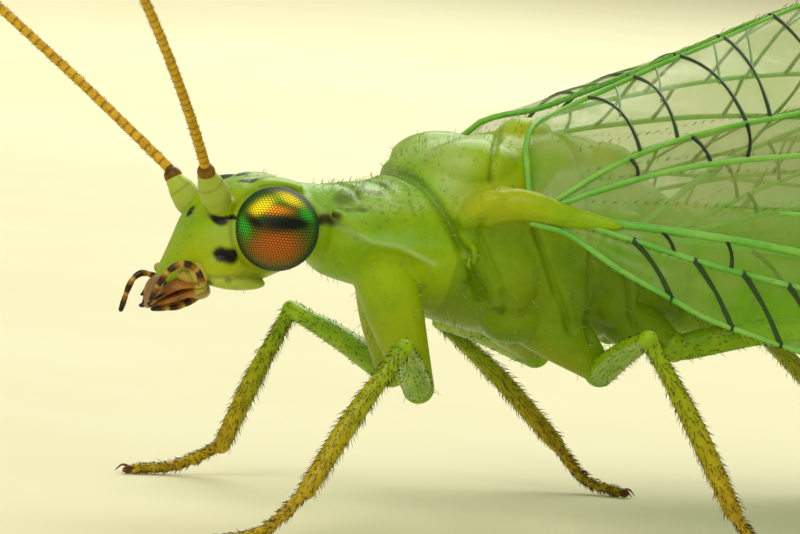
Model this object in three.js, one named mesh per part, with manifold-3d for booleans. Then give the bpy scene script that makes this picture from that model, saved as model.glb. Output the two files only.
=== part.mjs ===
// A green lacewing standing on six feet with its wings folded roof-wise, life size, in millimetres.
// It faces -Y with its left side at +X. The floor under its feet is z = 0.
// Sizes are set out from the middle of the eyes (y = 0), and the whole is centred over its origin at the end.
import * as THREE from "three";
import { ParametricGeometry } from "three/addons/geometries/ParametricGeometry.js";
import { mergeVertices } from "three/addons/utils/BufferGeometryUtils.js";
import Module from "manifold-3d";

const wasm = await Module();
wasm.setup();

// Clear space between neighbouring pieces, scaled to an animal of 10 mm.
const GAP = 0.2;
const HEAD_GAP = 0.1;

// Head
const EYE_RADIUS = 0.38;
const EYE_SIDE = 0.55;
const EYE_LEVEL = 2.7;
const EYE_CUT = 0.4;
const HEAD_SQUARENESS = 2.2;
// Upright sections: [y, half width, top, widest level, bottom].
const HEAD_SECTIONS = [
  [-0.9, 0.1, 2.2, 2.14, 2.08],
  [-0.86, 0.19, 2.28, 2.18, 2.06],
  [-0.78, 0.27, 2.45, 2.24, 2.05],
  [-0.7, 0.33, 2.63, 2.34, 2.05],
  [-0.62, 0.39, 2.81, 2.45, 2.06],
  [-0.48, 0.48, 2.97, 2.56, 2.07],
  [-0.28, 0.56, 3.09, 2.66, 2.08],
  [-0.06, 0.58, 3.15, 2.7, 2.12],
  [0.16, 0.57, 3.15, 2.7, 2.22],
  [0.36, 0.47, 3.12, 2.72, 2.32],
  [0.46, 0.38, 3.06, 2.72, 2.4],
];

// Mouth: points are [x, y, z] on the left side.
const LABRUM = { centre: [0, -0.95, 1.98], half: [0.18, 0.065, 0.17], pitch: -0.36 };
const MOUTH_CONE = { base: [0, -0.6, 2.0], tip: [0, -0.86, 1.86], wide: 0.16, narrow: 0.06 };
const MAXILLARY_PALPS = {
  left: [
    [0.38, -0.6, 2.12],
    [0.41, -0.69, 2.26],
    [0.4, -0.82, 2.31],
    [0.37, -0.94, 2.24],
    [0.31, -1.03, 2.0],
  ],
  right: [
    [0.3, -0.6, 1.98],
    [0.33, -0.78, 2.04],
    [0.34, -0.98, 2.1],
    [0.35, -1.07, 1.95],
    [0.35, -1.1, 1.8],
  ],
};
const LABIAL_PALP = [
  [0.14, -0.5, 1.88],
  [0.17, -0.68, 1.79],
  [0.17, -0.92, 1.75],
];
const PALP_RADIUS = 0.085;

// Antennae, and how far each one's hinge is moved from the shared place
const SCAPE_ROOT = [0.35, -0.48, 2.8];
const SCAPE_TOP = [0.42, -0.68, 3.12];
const PEDICEL_TOP = [0.47, -0.73, 3.24];
const FEELER_RADIUS = 0.25;
const FEELER_TIP_RADIUS = 0.11;
const FLAGELLUM_LENGTH = 10.6;
const FLAGELLUM_AIM = [0.66, -0.49, 0.57];
const FLAGELLUM_BEND = [-0.5, -1.5, -0.5];
const FEELER_SHIFT = { left: [0, 0, 0], right: [-0.05, 0.03, -0.12] };

// Thorax
const THORAX_SQUARENESS = 2.3;
const THORAX_SECTIONS = [
  [0.6, 0.42, 3.06, 2.72, 2.36],
  [0.72, 0.52, 3.1, 2.74, 2.26],
  [0.9, 0.6, 3.12, 2.78, 2.2],
  [1.15, 0.64, 3.15, 2.8, 2.14],
  [1.35, 0.66, 3.21, 2.8, 2.06],
  [1.5, 0.7, 3.4, 2.82, 1.98],
  [1.7, 0.78, 3.52, 2.86, 1.92],
  [2.1, 0.88, 3.6, 2.9, 1.82],
  [2.6, 0.92, 3.7, 2.88, 1.74],
  [3.0, 0.88, 3.72, 2.8, 1.72],
  [3.4, 0.74, 3.62, 2.74, 1.74],
  [3.8, 0.66, 3.42, 2.66, 1.8],
  [4.15, 0.6, 3.18, 2.56, 1.86],
];
// Cuts through the trunk: a point [y, z] on the cut and its slope in y for each millimetre down.
const NECK_CUT = { at: [0.6, 2.7], lean: 0.1 };
const PRONOTUM_CUT = { at: [1.42, 3.2], lean: 0.62 };
const MESOTHORAX_CUT = { at: [2.98, 3.7], lean: 0.12 };
const WAIST_CUT = { at: [4.1, 2.6], lean: -0.05 };
const MESONOTUM_LOBE = { centre: [0.36, 2.05, 3.33], half: [0.42, 0.52, 0.3] };
const SCUTELLUM = { centre: [0, 2.72, 3.62], half: [0.3, 0.3, 0.22] };
const METANOTUM_LOBE = { centre: [0.3, 3.42, 3.4], half: [0.34, 0.32, 0.26] };
const PRONOTUM_RIDGE = {
  points: [
    [0.52, 0.66, 2.83],
    [0.61, 0.94, 2.66],
    [0.64, 1.22, 2.6],
    [0.68, 1.56, 2.47],
  ],
  radius: 0.1,
};

// Abdomen
const ABDOMEN_SQUARENESS = 2.1;
const ABDOMEN_SECTIONS = [
  [4.2, 0.54, 3.08, 2.52, 1.9],
  [4.8, 0.62, 3.08, 2.46, 1.8],
  [5.8, 0.66, 3.04, 2.4, 1.73],
  [7.0, 0.64, 2.94, 2.3, 1.68],
  [8.2, 0.57, 2.8, 2.2, 1.62],
  [9.2, 0.48, 2.64, 2.1, 1.6],
  [9.9, 0.38, 2.5, 2.06, 1.64],
  [10.25, 0.24, 2.36, 2.06, 1.76],
  [10.4, 0.08, 2.14, 2.06, 1.98],
];
const ABDOMEN_SEGMENTS = 9;
const SEGMENT_GROOVE = 0.045;
const ABDOMEN_CUTS = [6.28, 8.36];

// Legs: each joint's place, the limb's radii and the height of a foot's middle over the floor.
const LEG_RADIUS = 0.25;
const COXA_RADII = [0.33, 0.23];
const TARSUS_RADII = [0.24, 0.13];
const FOOT_HEIGHT = 0.09;
const LEGS = {
  fore_left: {
    coxa: [0.44, 1.25, 2.3],
    trochanter: [0.62, 1.53, 1.27],
    knee: [1.95, 0.73, 1.8],
    ankle: [2.15, -0.2, 0.5],
    toe: [2.2, -0.97],
  },
  fore_right: {
    coxa: [-0.44, 1.55, 2.3],
    trochanter: [-0.58, 1.82, 1.28],
    knee: [-2.15, 1.42, 1.68],
    ankle: [-2.42, 0.93, 0.3],
    toe: [-2.4, 0.02],
  },
  middle_left: {
    coxa: [0.42, 2.8, 2.0],
    trochanter: [0.7, 3.36, 1.5],
    knee: [2.5, 2.92, 2.03],
    ankle: [2.52, 3.95, 0.46],
    toe: [2.25, 4.68],
  },
  middle_right: {
    coxa: [-0.42, 2.8, 2.0],
    trochanter: [-0.7, 3.36, 1.5],
    knee: [-2.4, 3.15, 1.6],
    ankle: [-2.2, 4.42, 0.46],
    toe: [-1.8, 4.95],
  },
  hind_left: {
    coxa: [0.44, 3.72, 2.0],
    trochanter: [0.68, 4.12, 1.76],
    knee: [1.36, 5.6, 2.15],
    ankle: [2.5, 8.4, 0.42],
    toe: [2.75, 9.35],
  },
  hind_right: {
    coxa: [-0.44, 3.72, 2.0],
    trochanter: [-0.68, 4.12, 1.76],
    knee: [-1.36, 5.6, 2.15],
    ankle: [-2.7, 8.25, 0.42],
    toe: [-3.05, 9.15],
  },
};

// Wings: rows of [distance from the root, value] along the radial vein, for the left side. Lean is the wing's
// slope at that vein, and curl is how much flatter it gets by its hind margin.
const WING_HALF_THICK = 0.25;
const WING_TIP_HALF_THICK = 0.13;
const VEIN_HEIGHT = 0.07;
const VEIN_HALF_WIDTH = 0.13;
const FOREWING = {
  length: 14,
  rows: 26,
  x: [[0, 1.36], [0.5, 1.5], [1, 1.72], [1.5, 1.9], [2.2, 2.1], [3, 2.25], [6, 2.4], [9, 2.35], [14, 2.05]],
  y: [[0, 2.18], [14, 16.0]],
  z: [[0, 3.0], [1.1, 2.97], [1.8, 2.92], [2.6, 2.83], [4, 2.68], [6, 2.45], [9, 2.1], [14, 1.6]],
  lean: [[0, 80], [1, 74], [2.6, 70], [5, 65], [8, 62], [14, 62]],
  curl: [[0, 0], [1, 60], [2.2, 61], [3.2, 47], [4.2, 34], [6, 24], [9, 17], [14, 12]],
  front: [[0, 0.26], [0.3, 0.24], [0.7, 0.42], [1.1, 0.62], [1.5, 0.8], [2.6, 1.0], [4, 1.12], [8, 1.22],
    [11, 1.12], [12.6, 0.88], [13.5, 0.55], [13.9, 0.25], [14, 0.1]],
  back: [[0, 0.3], [0.3, 0.5], [0.7, 0.95], [1.1, 1.35], [1.6, 1.9], [2.2, 2.42], [3.2, 2.92], [4.2, 3.18],
    [6, 3.48], [9, 3.5], [10, 3.35], [11.6, 2.7], [12.8, 1.75], [13.5, 1.0], [13.9, 0.4], [14, 0.12]],
  veins: [-0.35, 0, 0.2, 0.42, 0.67],
};
const HINDWING = {
  length: 12.4,
  rows: 22,
  x: [[0, 1.12], [0.5, 1.16], [1, 1.26], [2, 1.38], [4, 1.44], [8, 1.44], [12.4, 1.25]],
  y: [[0, 3.5], [12.4, 15.75]],
  z: [[0, 2.82], [1.5, 2.78], [4, 2.6], [8, 2.15], [12.4, 1.66]],
  lean: [[0, 80], [1.2, 70], [3, 66], [6, 64], [12.4, 63]],
  curl: [[0, 0], [1.2, 36], [3, 28], [6, 20], [12.4, 12]],
  front: [[0, 0.24], [0.5, 0.26], [2, 0.4], [6, 0.5], [10, 0.5], [11.4, 0.4], [12.1, 0.24], [12.4, 0.1]],
  back: [[0, 0.26], [0.5, 0.6], [1.2, 1.05], [2.4, 1.5], [4, 1.85], [6, 2.02], [8, 2.02], [9.6, 1.75],
    [11, 1.25], [11.9, 0.75], [12.3, 0.3], [12.4, 0.1]],
  veins: [0, 0.22, 0.45, 0.7],
};

// Smooth curve through [position, value] rows, read from one column.
function along(rows, position, column = 1) {
  const last = rows.length - 1;
  const place = THREE.MathUtils.clamp(position, rows[0][0], rows[last][0]);
  let i = 0;
  while (i < last - 1 && place > rows[i + 1][0]) i += 1;
  const slope = (k) => {
    const before = rows[Math.max(k - 1, 0)];
    const after = rows[Math.min(k + 1, last)];
    return (after[column] - before[column]) / (after[0] - before[0]);
  };
  const [from, to] = [rows[i], rows[i + 1]];
  const span = to[0] - from[0];
  const t = (place - from[0]) / span;
  const value = (2 * t ** 3 - 3 * t ** 2 + 1) * from[column] + (3 * t ** 2 - 2 * t ** 3) * to[column];
  return value + span * ((t ** 3 - 2 * t ** 2 + t) * slope(i) + (t ** 3 - t ** 2) * slope(i + 1));
}

// A closed geometry as a solid that can be joined and cut, its faces turned outwards.
function solid(geometry) {
  const bare = geometry.clone();
  bare.deleteAttribute("normal");
  bare.deleteAttribute("uv");
  const merged = mergeVertices(bare, 1e-5);
  const corners = merged.index.array;
  const build = (order) => {
    const kept = [];
    for (let i = 0; i < corners.length; i += 3) {
      const face = order.map((k) => corners[i + k]);
      if (new Set(face).size === 3) kept.push(...face);
    }
    const vertProperties = merged.attributes.position.array;
    return new wasm.Manifold(new wasm.Mesh({ numProp: 3, vertProperties, triVerts: new Uint32Array(kept) }));
  };
  const made = build([0, 1, 2]);
  return made.volume() > 0 ? made : build([0, 2, 1]);
}

// The largest closed surface of a solid, as a geometry.
function geometryOf(made) {
  const pieces = made.decompose().sort((a, b) => b.volume() - a.volume());
  const mesh = pieces[0].getMesh();
  const geometry = new THREE.BufferGeometry();
  geometry.setAttribute("position", new THREE.BufferAttribute(mesh.vertProperties.slice(), 3));
  geometry.setIndex(new THREE.BufferAttribute(mesh.triVerts.slice(), 1));
  geometry.computeVertexNormals();
  return geometry;
}

function join(...solids) {
  return solids.reduce((all, next) => all.add(next));
}

// Closed rings between two flat ends: ring(t, angle, size) gives a point of the ring at t.
function rings(count, sides, ring) {
  const steps = count + 2;
  return solid(
    new ParametricGeometry(
      (u, v, target) => {
        const step = Math.round(v * steps) - 1;
        const inside = THREE.MathUtils.clamp(step, 0, count);
        target.copy(ring(inside / count, u * 2 * Math.PI, step === inside ? 1 : 0));
      },
      sides,
      steps,
    ),
  );
}

// A body of upright sections [y, half width, top, widest level, bottom], swollen by grow on every side.
function trunk(sections, squareness, { sides = 24, count = 14, grow = 0, waist = () => 0 } = {}) {
  const first = sections[0][0];
  const reach = sections[sections.length - 1][0] - first;
  const power = 2 / squareness;
  return rings(count, sides, (t, angle, size) => {
    const y = first + t * reach;
    const swell = grow - waist(y);
    const [wide, top, level, bottom] = [1, 2, 3, 4].map((column) => along(sections, y, column));
    const [c, s] = [Math.cos(angle), Math.sin(angle)];
    const height = s > 0 ? top - level : level - bottom;
    return new THREE.Vector3(
      size * (wide + swell) * Math.sign(c) * Math.abs(c) ** power,
      y + (t === 0 ? -grow : 0) + (t === 1 ? grow : 0),
      level + size * (height + swell) * Math.sign(s) * Math.abs(s) ** power,
    );
  });
}

// A limb along a curve through points, its radius a function of the part of the way along.
function limb(points, radius, { sides = 8, count = 6 } = {}) {
  const curve = new THREE.CatmullRomCurve3(points.map((p) => new THREE.Vector3(...p)), false, "centripetal");
  const { normals, binormals } = curve.computeFrenetFrames(count, false);
  return rings(count, sides, (t, angle, size) => {
    const i = Math.round(t * count);
    return curve
      .getPointAt(t)
      .addScaledVector(normals[i], size * radius(t) * Math.cos(angle))
      .addScaledVector(binormals[i], size * radius(t) * Math.sin(angle));
  });
}

// An egg with three half axes, nodding by pitch about X.
function egg({ centre, half, pitch = 0 }, side = 1, grow = 0, detail = 12) {
  const shape = new THREE.SphereGeometry(1, detail, Math.round(detail * 0.7));
  shape.scale(...half.map((h) => h + grow));
  shape.rotateX(pitch);
  shape.translate(side * centre[0], centre[1], centre[2]);
  return solid(shape);
}

// The part of a solid ahead of a point in a direction.
function ahead(made, point, direction) {
  const normal = new THREE.Vector3(...direction).normalize();
  return made.trimByPlane(normal.toArray(), normal.dot(new THREE.Vector3(...point)));
}

const turned = (direction) => direction.map((part) => -part);
const mirrored = (point, side) => [side * point[0], point[1], point[2]];

// The part of a trunk between two leaning cuts, with half the gap left at each of them.
function between(made, front, rear) {
  let part = made;
  if (front) {
    part = ahead(part, [0, front.at[0] + GAP / 2, front.at[1]], [0, 1, front.lean]);
  }
  if (rear) {
    part = ahead(part, [0, rear.at[0] - GAP / 2, rear.at[1]], [0, -1, -rear.lean]);
  }
  return part;
}

const part = new THREE.Group();

function place(name, made, color, roughness = 0.45) {
  const material = new THREE.MeshStandardMaterial({ color, roughness, metalness: 0 });
  const mesh = new THREE.Mesh(geometryOf(made), material);
  mesh.name = name;
  part.add(mesh);
}

const GREEN = 0x8fc93a;
const PALE_GREEN = 0xa9d65c;
const AMBER = 0xb9772c;
const GOLD = 0xc79a3a;
const MEMBRANE = 0xcfe3a8;

const SIDES = { left: 1, right: -1 };

// Head with a socket for each eye.
const headWith = (grow) => trunk(HEAD_SECTIONS, HEAD_SQUARENESS, { sides: 22, count: 14, grow });
const headGrown = headWith(HEAD_GAP);
let head = headWith(0);
for (const side of Object.values(SIDES)) {
  const eye = new THREE.Vector3(side * EYE_SIDE, 0, EYE_LEVEL);
  const ball = (radius, detail) => {
    const half = [radius, radius, radius];
    return egg({ centre: [EYE_SIDE, 0, EYE_LEVEL], half }, side, 0, detail);
  };
  const inner = (from) => [side * from, eye.y, eye.z];
  head = head.subtract(ahead(ball(EYE_RADIUS + HEAD_GAP, 20), inner(EYE_CUT - HEAD_GAP), [side, 0, 0]));
  const name = side > 0 ? "eye_left" : "eye_right";
  place(name, ahead(ball(EYE_RADIUS, 22), inner(EYE_CUT), [side, 0, 0]), 0x6b2f16, 0.15);
}
place("head", head, PALE_GREEN);

// Mouth
place("labrum", egg(LABRUM).subtract(headGrown), 0xd9c48a);
const coneRadius = (t) => THREE.MathUtils.lerp(MOUTH_CONE.wide, MOUTH_CONE.narrow, t);
const middleOfCone = MOUTH_CONE.base.map((value, i) => (value + MOUTH_CONE.tip[i]) / 2);
const mouthCone = limb([MOUTH_CONE.base, middleOfCone, MOUTH_CONE.tip], coneRadius, { sides: 10, count: 4 });
place("mouth_cone", mouthCone.subtract(headGrown).subtract(egg(LABRUM, 1, HEAD_GAP / 2)), AMBER, 0.3);
const palpRadius = (t) => PALP_RADIUS * (1 - 0.45 * t);
for (const [name, side] of Object.entries(SIDES)) {
  const path = MAXILLARY_PALPS[name].map((point) => mirrored(point, side));
  const maxillary = limb(path, palpRadius, { count: 9 }).subtract(headGrown).subtract(egg(LABRUM, 1, HEAD_GAP / 2));
  place(`maxillary_palp_${name}`, maxillary, AMBER, 0.35);
  const labial = LABIAL_PALP.map((point) => mirrored(point, side));
  place(`labial_palp_${name}`, limb(labial, palpRadius).subtract(headGrown), AMBER, 0.35);
}

// Antennae: the scape with its pedicel, then the flagellum in two lengths.
function flagellumPoint(t, name) {
  const run = FLAGELLUM_LENGTH * t;
  const reach = (i) => FLAGELLUM_AIM[i] * run + FLAGELLUM_BEND[i] * t * t;
  const point = PEDICEL_TOP.map((start, i) => start + FEELER_SHIFT[name][i] + reach(i));
  return mirrored(point, SIDES[name]);
}
for (const [name, side] of Object.entries(SIDES)) {
  const shifted = (point) => point.map((value, i) => value + FEELER_SHIFT[name][i]);
  const root = [SCAPE_ROOT, SCAPE_TOP, PEDICEL_TOP].map((point) => mirrored(shifted(point), side));
  const scapeRadius = (t) => FEELER_RADIUS * (t < 0.8 ? 1 : 0.85);
  place(`antenna_base_${name}`, limb(root, scapeRadius, { sides: 10 }).subtract(headGrown), GREEN);
  const lengths = { near: [0.02, 0.5], far: [0.52, 1] };
  for (const [length, [from, to]] of Object.entries(lengths)) {
    const run = [0, 1, 2, 3, 4].map((i) => flagellumPoint(from + ((to - from) * i) / 4, name));
    const radius = (t) => {
      const way = from + (to - from) * t;
      return THREE.MathUtils.lerp(FEELER_RADIUS, FEELER_TIP_RADIUS, Math.max(0, (way - 0.4) / 0.6) ** 1.5);
    };
    place(`flagellum_${length}_${name}`, limb(run, radius, { count: 8 }), GOLD, 0.6);
  }
}

// Thorax, parted by thin cuts, with the lobes of its back.
const thoraxWith = (grow) => trunk(THORAX_SECTIONS, THORAX_SQUARENESS, { sides: 24, count: 20, grow });
const thoraxGrown = thoraxWith(GAP);
const lobes = [egg(SCUTELLUM)];
for (const side of Object.values(SIDES)) {
  lobes.push(egg(MESONOTUM_LOBE, side, 0, 14), egg(METANOTUM_LOBE, side));
  const ridge = PRONOTUM_RIDGE.points.map((point) => mirrored(point, side));
  lobes.push(limb(ridge, (t) => PRONOTUM_RIDGE.radius * Math.sin(Math.PI * (0.1 + 0.8 * t)), { count: 6 }));
}
const thorax = join(thoraxWith(0), ...lobes);
place("prothorax", between(thorax, NECK_CUT, PRONOTUM_CUT), GREEN);
place("mesothorax", between(thorax, PRONOTUM_CUT, MESOTHORAX_CUT), GREEN);
place("metathorax", between(thorax, MESOTHORAX_CUT, WAIST_CUT), GREEN);

// Abdomen, a groove between each two segments.
const abdomenFrom = ABDOMEN_SECTIONS[0][0];
const abdomenLength = ABDOMEN_SECTIONS[ABDOMEN_SECTIONS.length - 1][0] - abdomenFrom;
const groove = (y) => {
  const phase = ((y - abdomenFrom) / abdomenLength) * ABDOMEN_SEGMENTS;
  return SEGMENT_GROOVE * Math.abs(Math.cos(Math.PI * phase)) ** 6;
};
const abdomen = trunk(ABDOMEN_SECTIONS, ABDOMEN_SQUARENESS, { sides: 20, count: 36, waist: groove });
const abdomenCuts = [null, ...ABDOMEN_CUTS.map((y) => ({ at: [y, 2.3], lean: 0 })), null];
["front", "middle", "rear"].forEach((name, i) => {
  place(`abdomen_${name}`, between(abdomen, abdomenCuts[i], abdomenCuts[i + 1]), GREEN);
});

// Legs: each segment is parted from the next on the plane that halves their bend.
for (const [name, leg] of Object.entries(LEGS)) {
  const toe = [...leg.toe, FOOT_HEIGHT];
  const joints = [leg.coxa, leg.trochanter, leg.knee, leg.ankle, toe].map((p) => new THREE.Vector3(...p));
  const ways = joints.slice(1).map((joint, i) => joint.clone().sub(joints[i]).normalize());
  const radii = [COXA_RADII, [0.26, LEG_RADIUS], [LEG_RADIUS, 0.24], TARSUS_RADII];
  ["coxa", "femur", "tibia", "tarsus"].forEach((segment, i) => {
    const from = joints[i].clone().addScaledVector(ways[i], i === 0 ? 0 : -LEG_RADIUS);
    const to = joints[i + 1].clone().addScaledVector(ways[i], i === 3 ? 0 : LEG_RADIUS);
    const middle = from.clone().lerp(to, 0.5);
    if (i === 3) middle.z = FOOT_HEIGHT + (middle.z - FOOT_HEIGHT) * 0.45;
    const [thick, thin] = radii[i];
    const size = (t) => THREE.MathUtils.lerp(thick, thin, t);
    let made = limb([from, middle, to].map((p) => p.toArray()), size, { sides: 9, count: i === 3 ? 6 : 4 });
    if (i > 0) {
      const halving = ways[i - 1].clone().add(ways[i]).normalize();
      const start = joints[i].clone().addScaledVector(halving, GAP / 2);
      made = ahead(made, start.toArray(), halving.toArray());
    }
    if (i < 3) {
      const halving = ways[i].clone().add(ways[i + 1]).normalize();
      const end = joints[i + 1].clone().addScaledVector(halving, -GAP / 2);
      made = ahead(made, end.toArray(), turned(halving.toArray()));
    }
    if (i === 0) made = made.subtract(thoraxGrown);
    if (i === 3) made = ahead(made, [0, 0, 0], [0, 0, 1]);
    place(`${segment}_${name}`, made, i === 3 ? GOLD : GREEN);
  });
}

// A thin plate over a grid, split into triangles alike on both faces, with a wall round its rim.
function plate(columns, rows, at) {
  const grid = new THREE.PlaneGeometry(1, 1, columns - 1, rows - 1);
  const count = columns * rows;
  const faces = [...grid.index.array];
  for (let i = 0; i < grid.index.count; i += 3) {
    faces.push(...[i, i + 2, i + 1].map((k) => grid.index.array[k] + count));
  }
  const rim = [];
  for (let c = 0; c < columns - 1; c += 1) rim.push(c);
  for (let r = 0; r < rows - 1; r += 1) rim.push(r * columns + columns - 1);
  for (let c = columns - 1; c > 0; c -= 1) rim.push((rows - 1) * columns + c);
  for (let r = rows - 1; r > 0; r -= 1) rim.push(r * columns);
  rim.forEach((a, i) => {
    const b = rim[(i + 1) % rim.length];
    faces.push(a, b, a + count, b, b + count, a + count);
  });
  const positions = [];
  for (const face of [1, -1]) {
    for (let r = 0; r < rows; r += 1) {
      for (let c = 0; c < columns; c += 1) positions.push(...at(c, r, face));
    }
  }
  const geometry = new THREE.BufferGeometry();
  geometry.setAttribute("position", new THREE.Float32BufferAttribute(positions, 3));
  geometry.setIndex(faces);
  return solid(geometry);
}

// A wing: its columns run along the margins and veins, each vein a raised line on the outer face.
function wing(spec, side) {
  const lineCount = spec.veins.length * 3 + 2;
  return plate(lineCount, spec.rows, (column, row, face) => {
    const run = spec.length * Math.sin((row / (spec.rows - 1)) * 0.5 * Math.PI) ** 0.85;
    const front = along(spec.front, run);
    const back = along(spec.back, run);
    const inner = column > 0 && column < lineCount - 1;
    const vein = Math.floor((column - 1) / 3);
    const step = ((column - 1) % 3) - 1;
    const share = spec.veins[vein] ?? 0;
    const narrow = Math.min(VEIN_HALF_WIDTH, 0.07 * (front + back));
    let chord = column === 0 ? -front : back;
    if (inner) chord = share * (share < 0 ? front : back) + step * narrow;
    const raised = face > 0 && (column === 0 || (inner && step === 0));
    const thin = THREE.MathUtils.smoothstep(run / spec.length, 0.7, 1);
    const depth = THREE.MathUtils.lerp(WING_HALF_THICK, WING_TIP_HALF_THICK, thin);
    const out = face * depth + (raised ? VEIN_HEIGHT : 0);
    const half = THREE.MathUtils.degToRad(along(spec.curl, run) * Math.max(chord / back, 0)) / 2;
    const reach = half > 0 ? (chord * Math.sin(half)) / half : chord;
    const lean = THREE.MathUtils.degToRad(along(spec.lean, run)) - half;
    return [
      side * (along(spec.x, run) - reach * Math.cos(lean) + out * Math.sin(lean - half)),
      along(spec.y, run),
      along(spec.z, run) + reach * Math.sin(lean) + out * Math.cos(lean - half),
    ];
  });
}
for (const [name, side] of Object.entries(SIDES)) {
  place(`forewing_${name}`, wing(FOREWING, side).subtract(thoraxGrown), MEMBRANE, 0.2);
  place(`hindwing_${name}`, wing(HINDWING, side).subtract(thoraxGrown), MEMBRANE, 0.2);
}

// The whole stands over its origin.
const box = new THREE.Box3().setFromObject(part);
const centre = box.getCenter(new THREE.Vector3());
part.position.set(-centre.x, -centre.y, 0);

export default part;
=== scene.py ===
"""A green lacewing, life size, standing with its wings folded like a roof.

All forms are laid out in millimetres from the middle of the eyes (y = 0, floor at z = 0, head towards -y, the
animal's left at +x), then moved onto the frame and scaled to metres when they become pieces.
"""

import logging
import math
from dataclasses import dataclass, field
from enum import Enum
from typing import Any, Sequence

import bpy
import numpy as np
from mathutils import Matrix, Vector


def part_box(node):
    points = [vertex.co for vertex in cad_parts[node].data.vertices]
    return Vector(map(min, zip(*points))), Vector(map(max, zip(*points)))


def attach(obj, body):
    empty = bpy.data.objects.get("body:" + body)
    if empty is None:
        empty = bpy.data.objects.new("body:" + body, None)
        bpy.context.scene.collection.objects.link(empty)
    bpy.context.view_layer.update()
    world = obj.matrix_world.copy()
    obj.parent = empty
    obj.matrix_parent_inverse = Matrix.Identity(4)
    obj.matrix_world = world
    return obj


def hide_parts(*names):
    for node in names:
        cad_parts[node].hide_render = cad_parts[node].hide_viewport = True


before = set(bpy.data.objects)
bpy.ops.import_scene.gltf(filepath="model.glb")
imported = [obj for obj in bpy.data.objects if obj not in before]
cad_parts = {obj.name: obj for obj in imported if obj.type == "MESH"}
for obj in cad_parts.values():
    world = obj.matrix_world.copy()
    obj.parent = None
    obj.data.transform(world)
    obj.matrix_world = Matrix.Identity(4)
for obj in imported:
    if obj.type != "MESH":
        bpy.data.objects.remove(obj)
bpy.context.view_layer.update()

Rows = Sequence[Sequence[float]]
LOG = logging.getLogger("lacewing")
MM = 0.001
EYE_LOW, EYE_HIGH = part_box("eye_left")
SHIFT_Y = (EYE_LOW.y + EYE_HIGH.y) / 2 / MM
SIDES = {"left": 1.0, "right": -1.0}
FAR_COXA_BACK = 0.29


class Slot(Enum):
    """The record's material slots."""

    GREEN = "body_green"
    EYE = "eye"
    FLAGELLUM = "flagellum"
    LABRUM = "labrum"
    MOUTH = "mouthparts"
    TARSUS = "tarsus"
    WING = "wing_membrane"


@dataclass
class Form:
    """Points in millimetres, faces, and marks that hold one number for each point."""

    points: np.ndarray
    faces: list[tuple[int, ...]]
    marks: dict[str, np.ndarray] = field(default_factory=dict)

    def mark(self, name: str, values: Any) -> "Form":
        """Sets one mark and gives the form back."""
        self.marks[name] = np.broadcast_to(np.asarray(values, float), (len(self.points),)).copy()
        return self


def joined(forms: Sequence[Form]) -> Form:
    """Puts several forms into one.

    Args:
        forms: The forms, each with its own marks.

    Returns:
        One form; a mark that a form lacks is 0 there.
    """
    names = {name for form in forms for name in form.marks}
    starts = np.cumsum([0] + [len(form.points) for form in forms])
    faces = [tuple(i + int(start) for i in face) for form, start in zip(forms, starts) for face in form.faces]
    marks = {
        name: np.concatenate([form.marks.get(name, np.zeros(len(form.points))) for form in forms])
        for name in names
    }
    return Form(np.concatenate([form.points for form in forms]), faces, marks)


def along(rows: Rows, position: Any, column: int = 1) -> np.ndarray:
    """Reads a smooth curve through rows of numbers.

    Args:
        rows: Rows that start with a rising position.
        position: One or many positions.
        column: Which value of the rows to read.

    Returns:
        The curve's values, held at the first and last row beyond them.
    """
    table = np.asarray([[row[0], row[column]] for row in rows], float)
    x, y = table[:, 0], table[:, 1]
    at = np.clip(np.asarray(position, float), x[0], x[-1])
    i = np.clip(np.searchsorted(x, at, side="left") - 1, 0, len(x) - 2)
    before, after = np.maximum(np.arange(len(x)) - 1, 0), np.minimum(np.arange(len(x)) + 1, len(x) - 1)
    slope = (y[after] - y[before]) / (x[after] - x[before])
    span = x[i + 1] - x[i]
    t = (at - x[i]) / span
    value = (2 * t**3 - 3 * t**2 + 1) * y[i] + (3 * t**2 - 2 * t**3) * y[i + 1]
    return value + span * ((t**3 - 2 * t**2 + t) * slope[i] + (t**3 - t**2) * slope[i + 1])


def mirrored(point: Sequence[float], side: float) -> np.ndarray:
    """The point on the given side of the body."""
    return np.array([side * point[0], point[1], point[2]])


def smooth_path(points: Sequence[Sequence[float]], count: int) -> np.ndarray:
    """A smooth path of count points through the given ones, evenly spaced by length."""
    given = np.asarray(points, float)
    steps = np.concatenate([[0], np.cumsum(np.linalg.norm(np.diff(given, axis=0), axis=1))])
    at = np.linspace(0, steps[-1], count)
    columns = [along([[s, value] for s, value in zip(steps, given[:, k])], at) for k in range(3)]
    return np.stack(columns, 1)


def frames_along(path: np.ndarray) -> tuple[np.ndarray, np.ndarray, np.ndarray]:
    """Directions that follow a path without twisting.

    Args:
        path: Points along the path.

    Returns:
        The tangents and two normals at each point.
    """
    tangent = np.gradient(path, axis=0)
    tangent /= np.linalg.norm(tangent, axis=1, keepdims=True)
    start = np.eye(3)[np.argmin(np.abs(tangent[0]))]
    normals = []
    for way in tangent:
        start = start - way * (start @ way)
        start = start / np.linalg.norm(start)
        normals.append(start)
    normal = np.array(normals)
    return tangent, normal, np.cross(tangent, normal)


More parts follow.
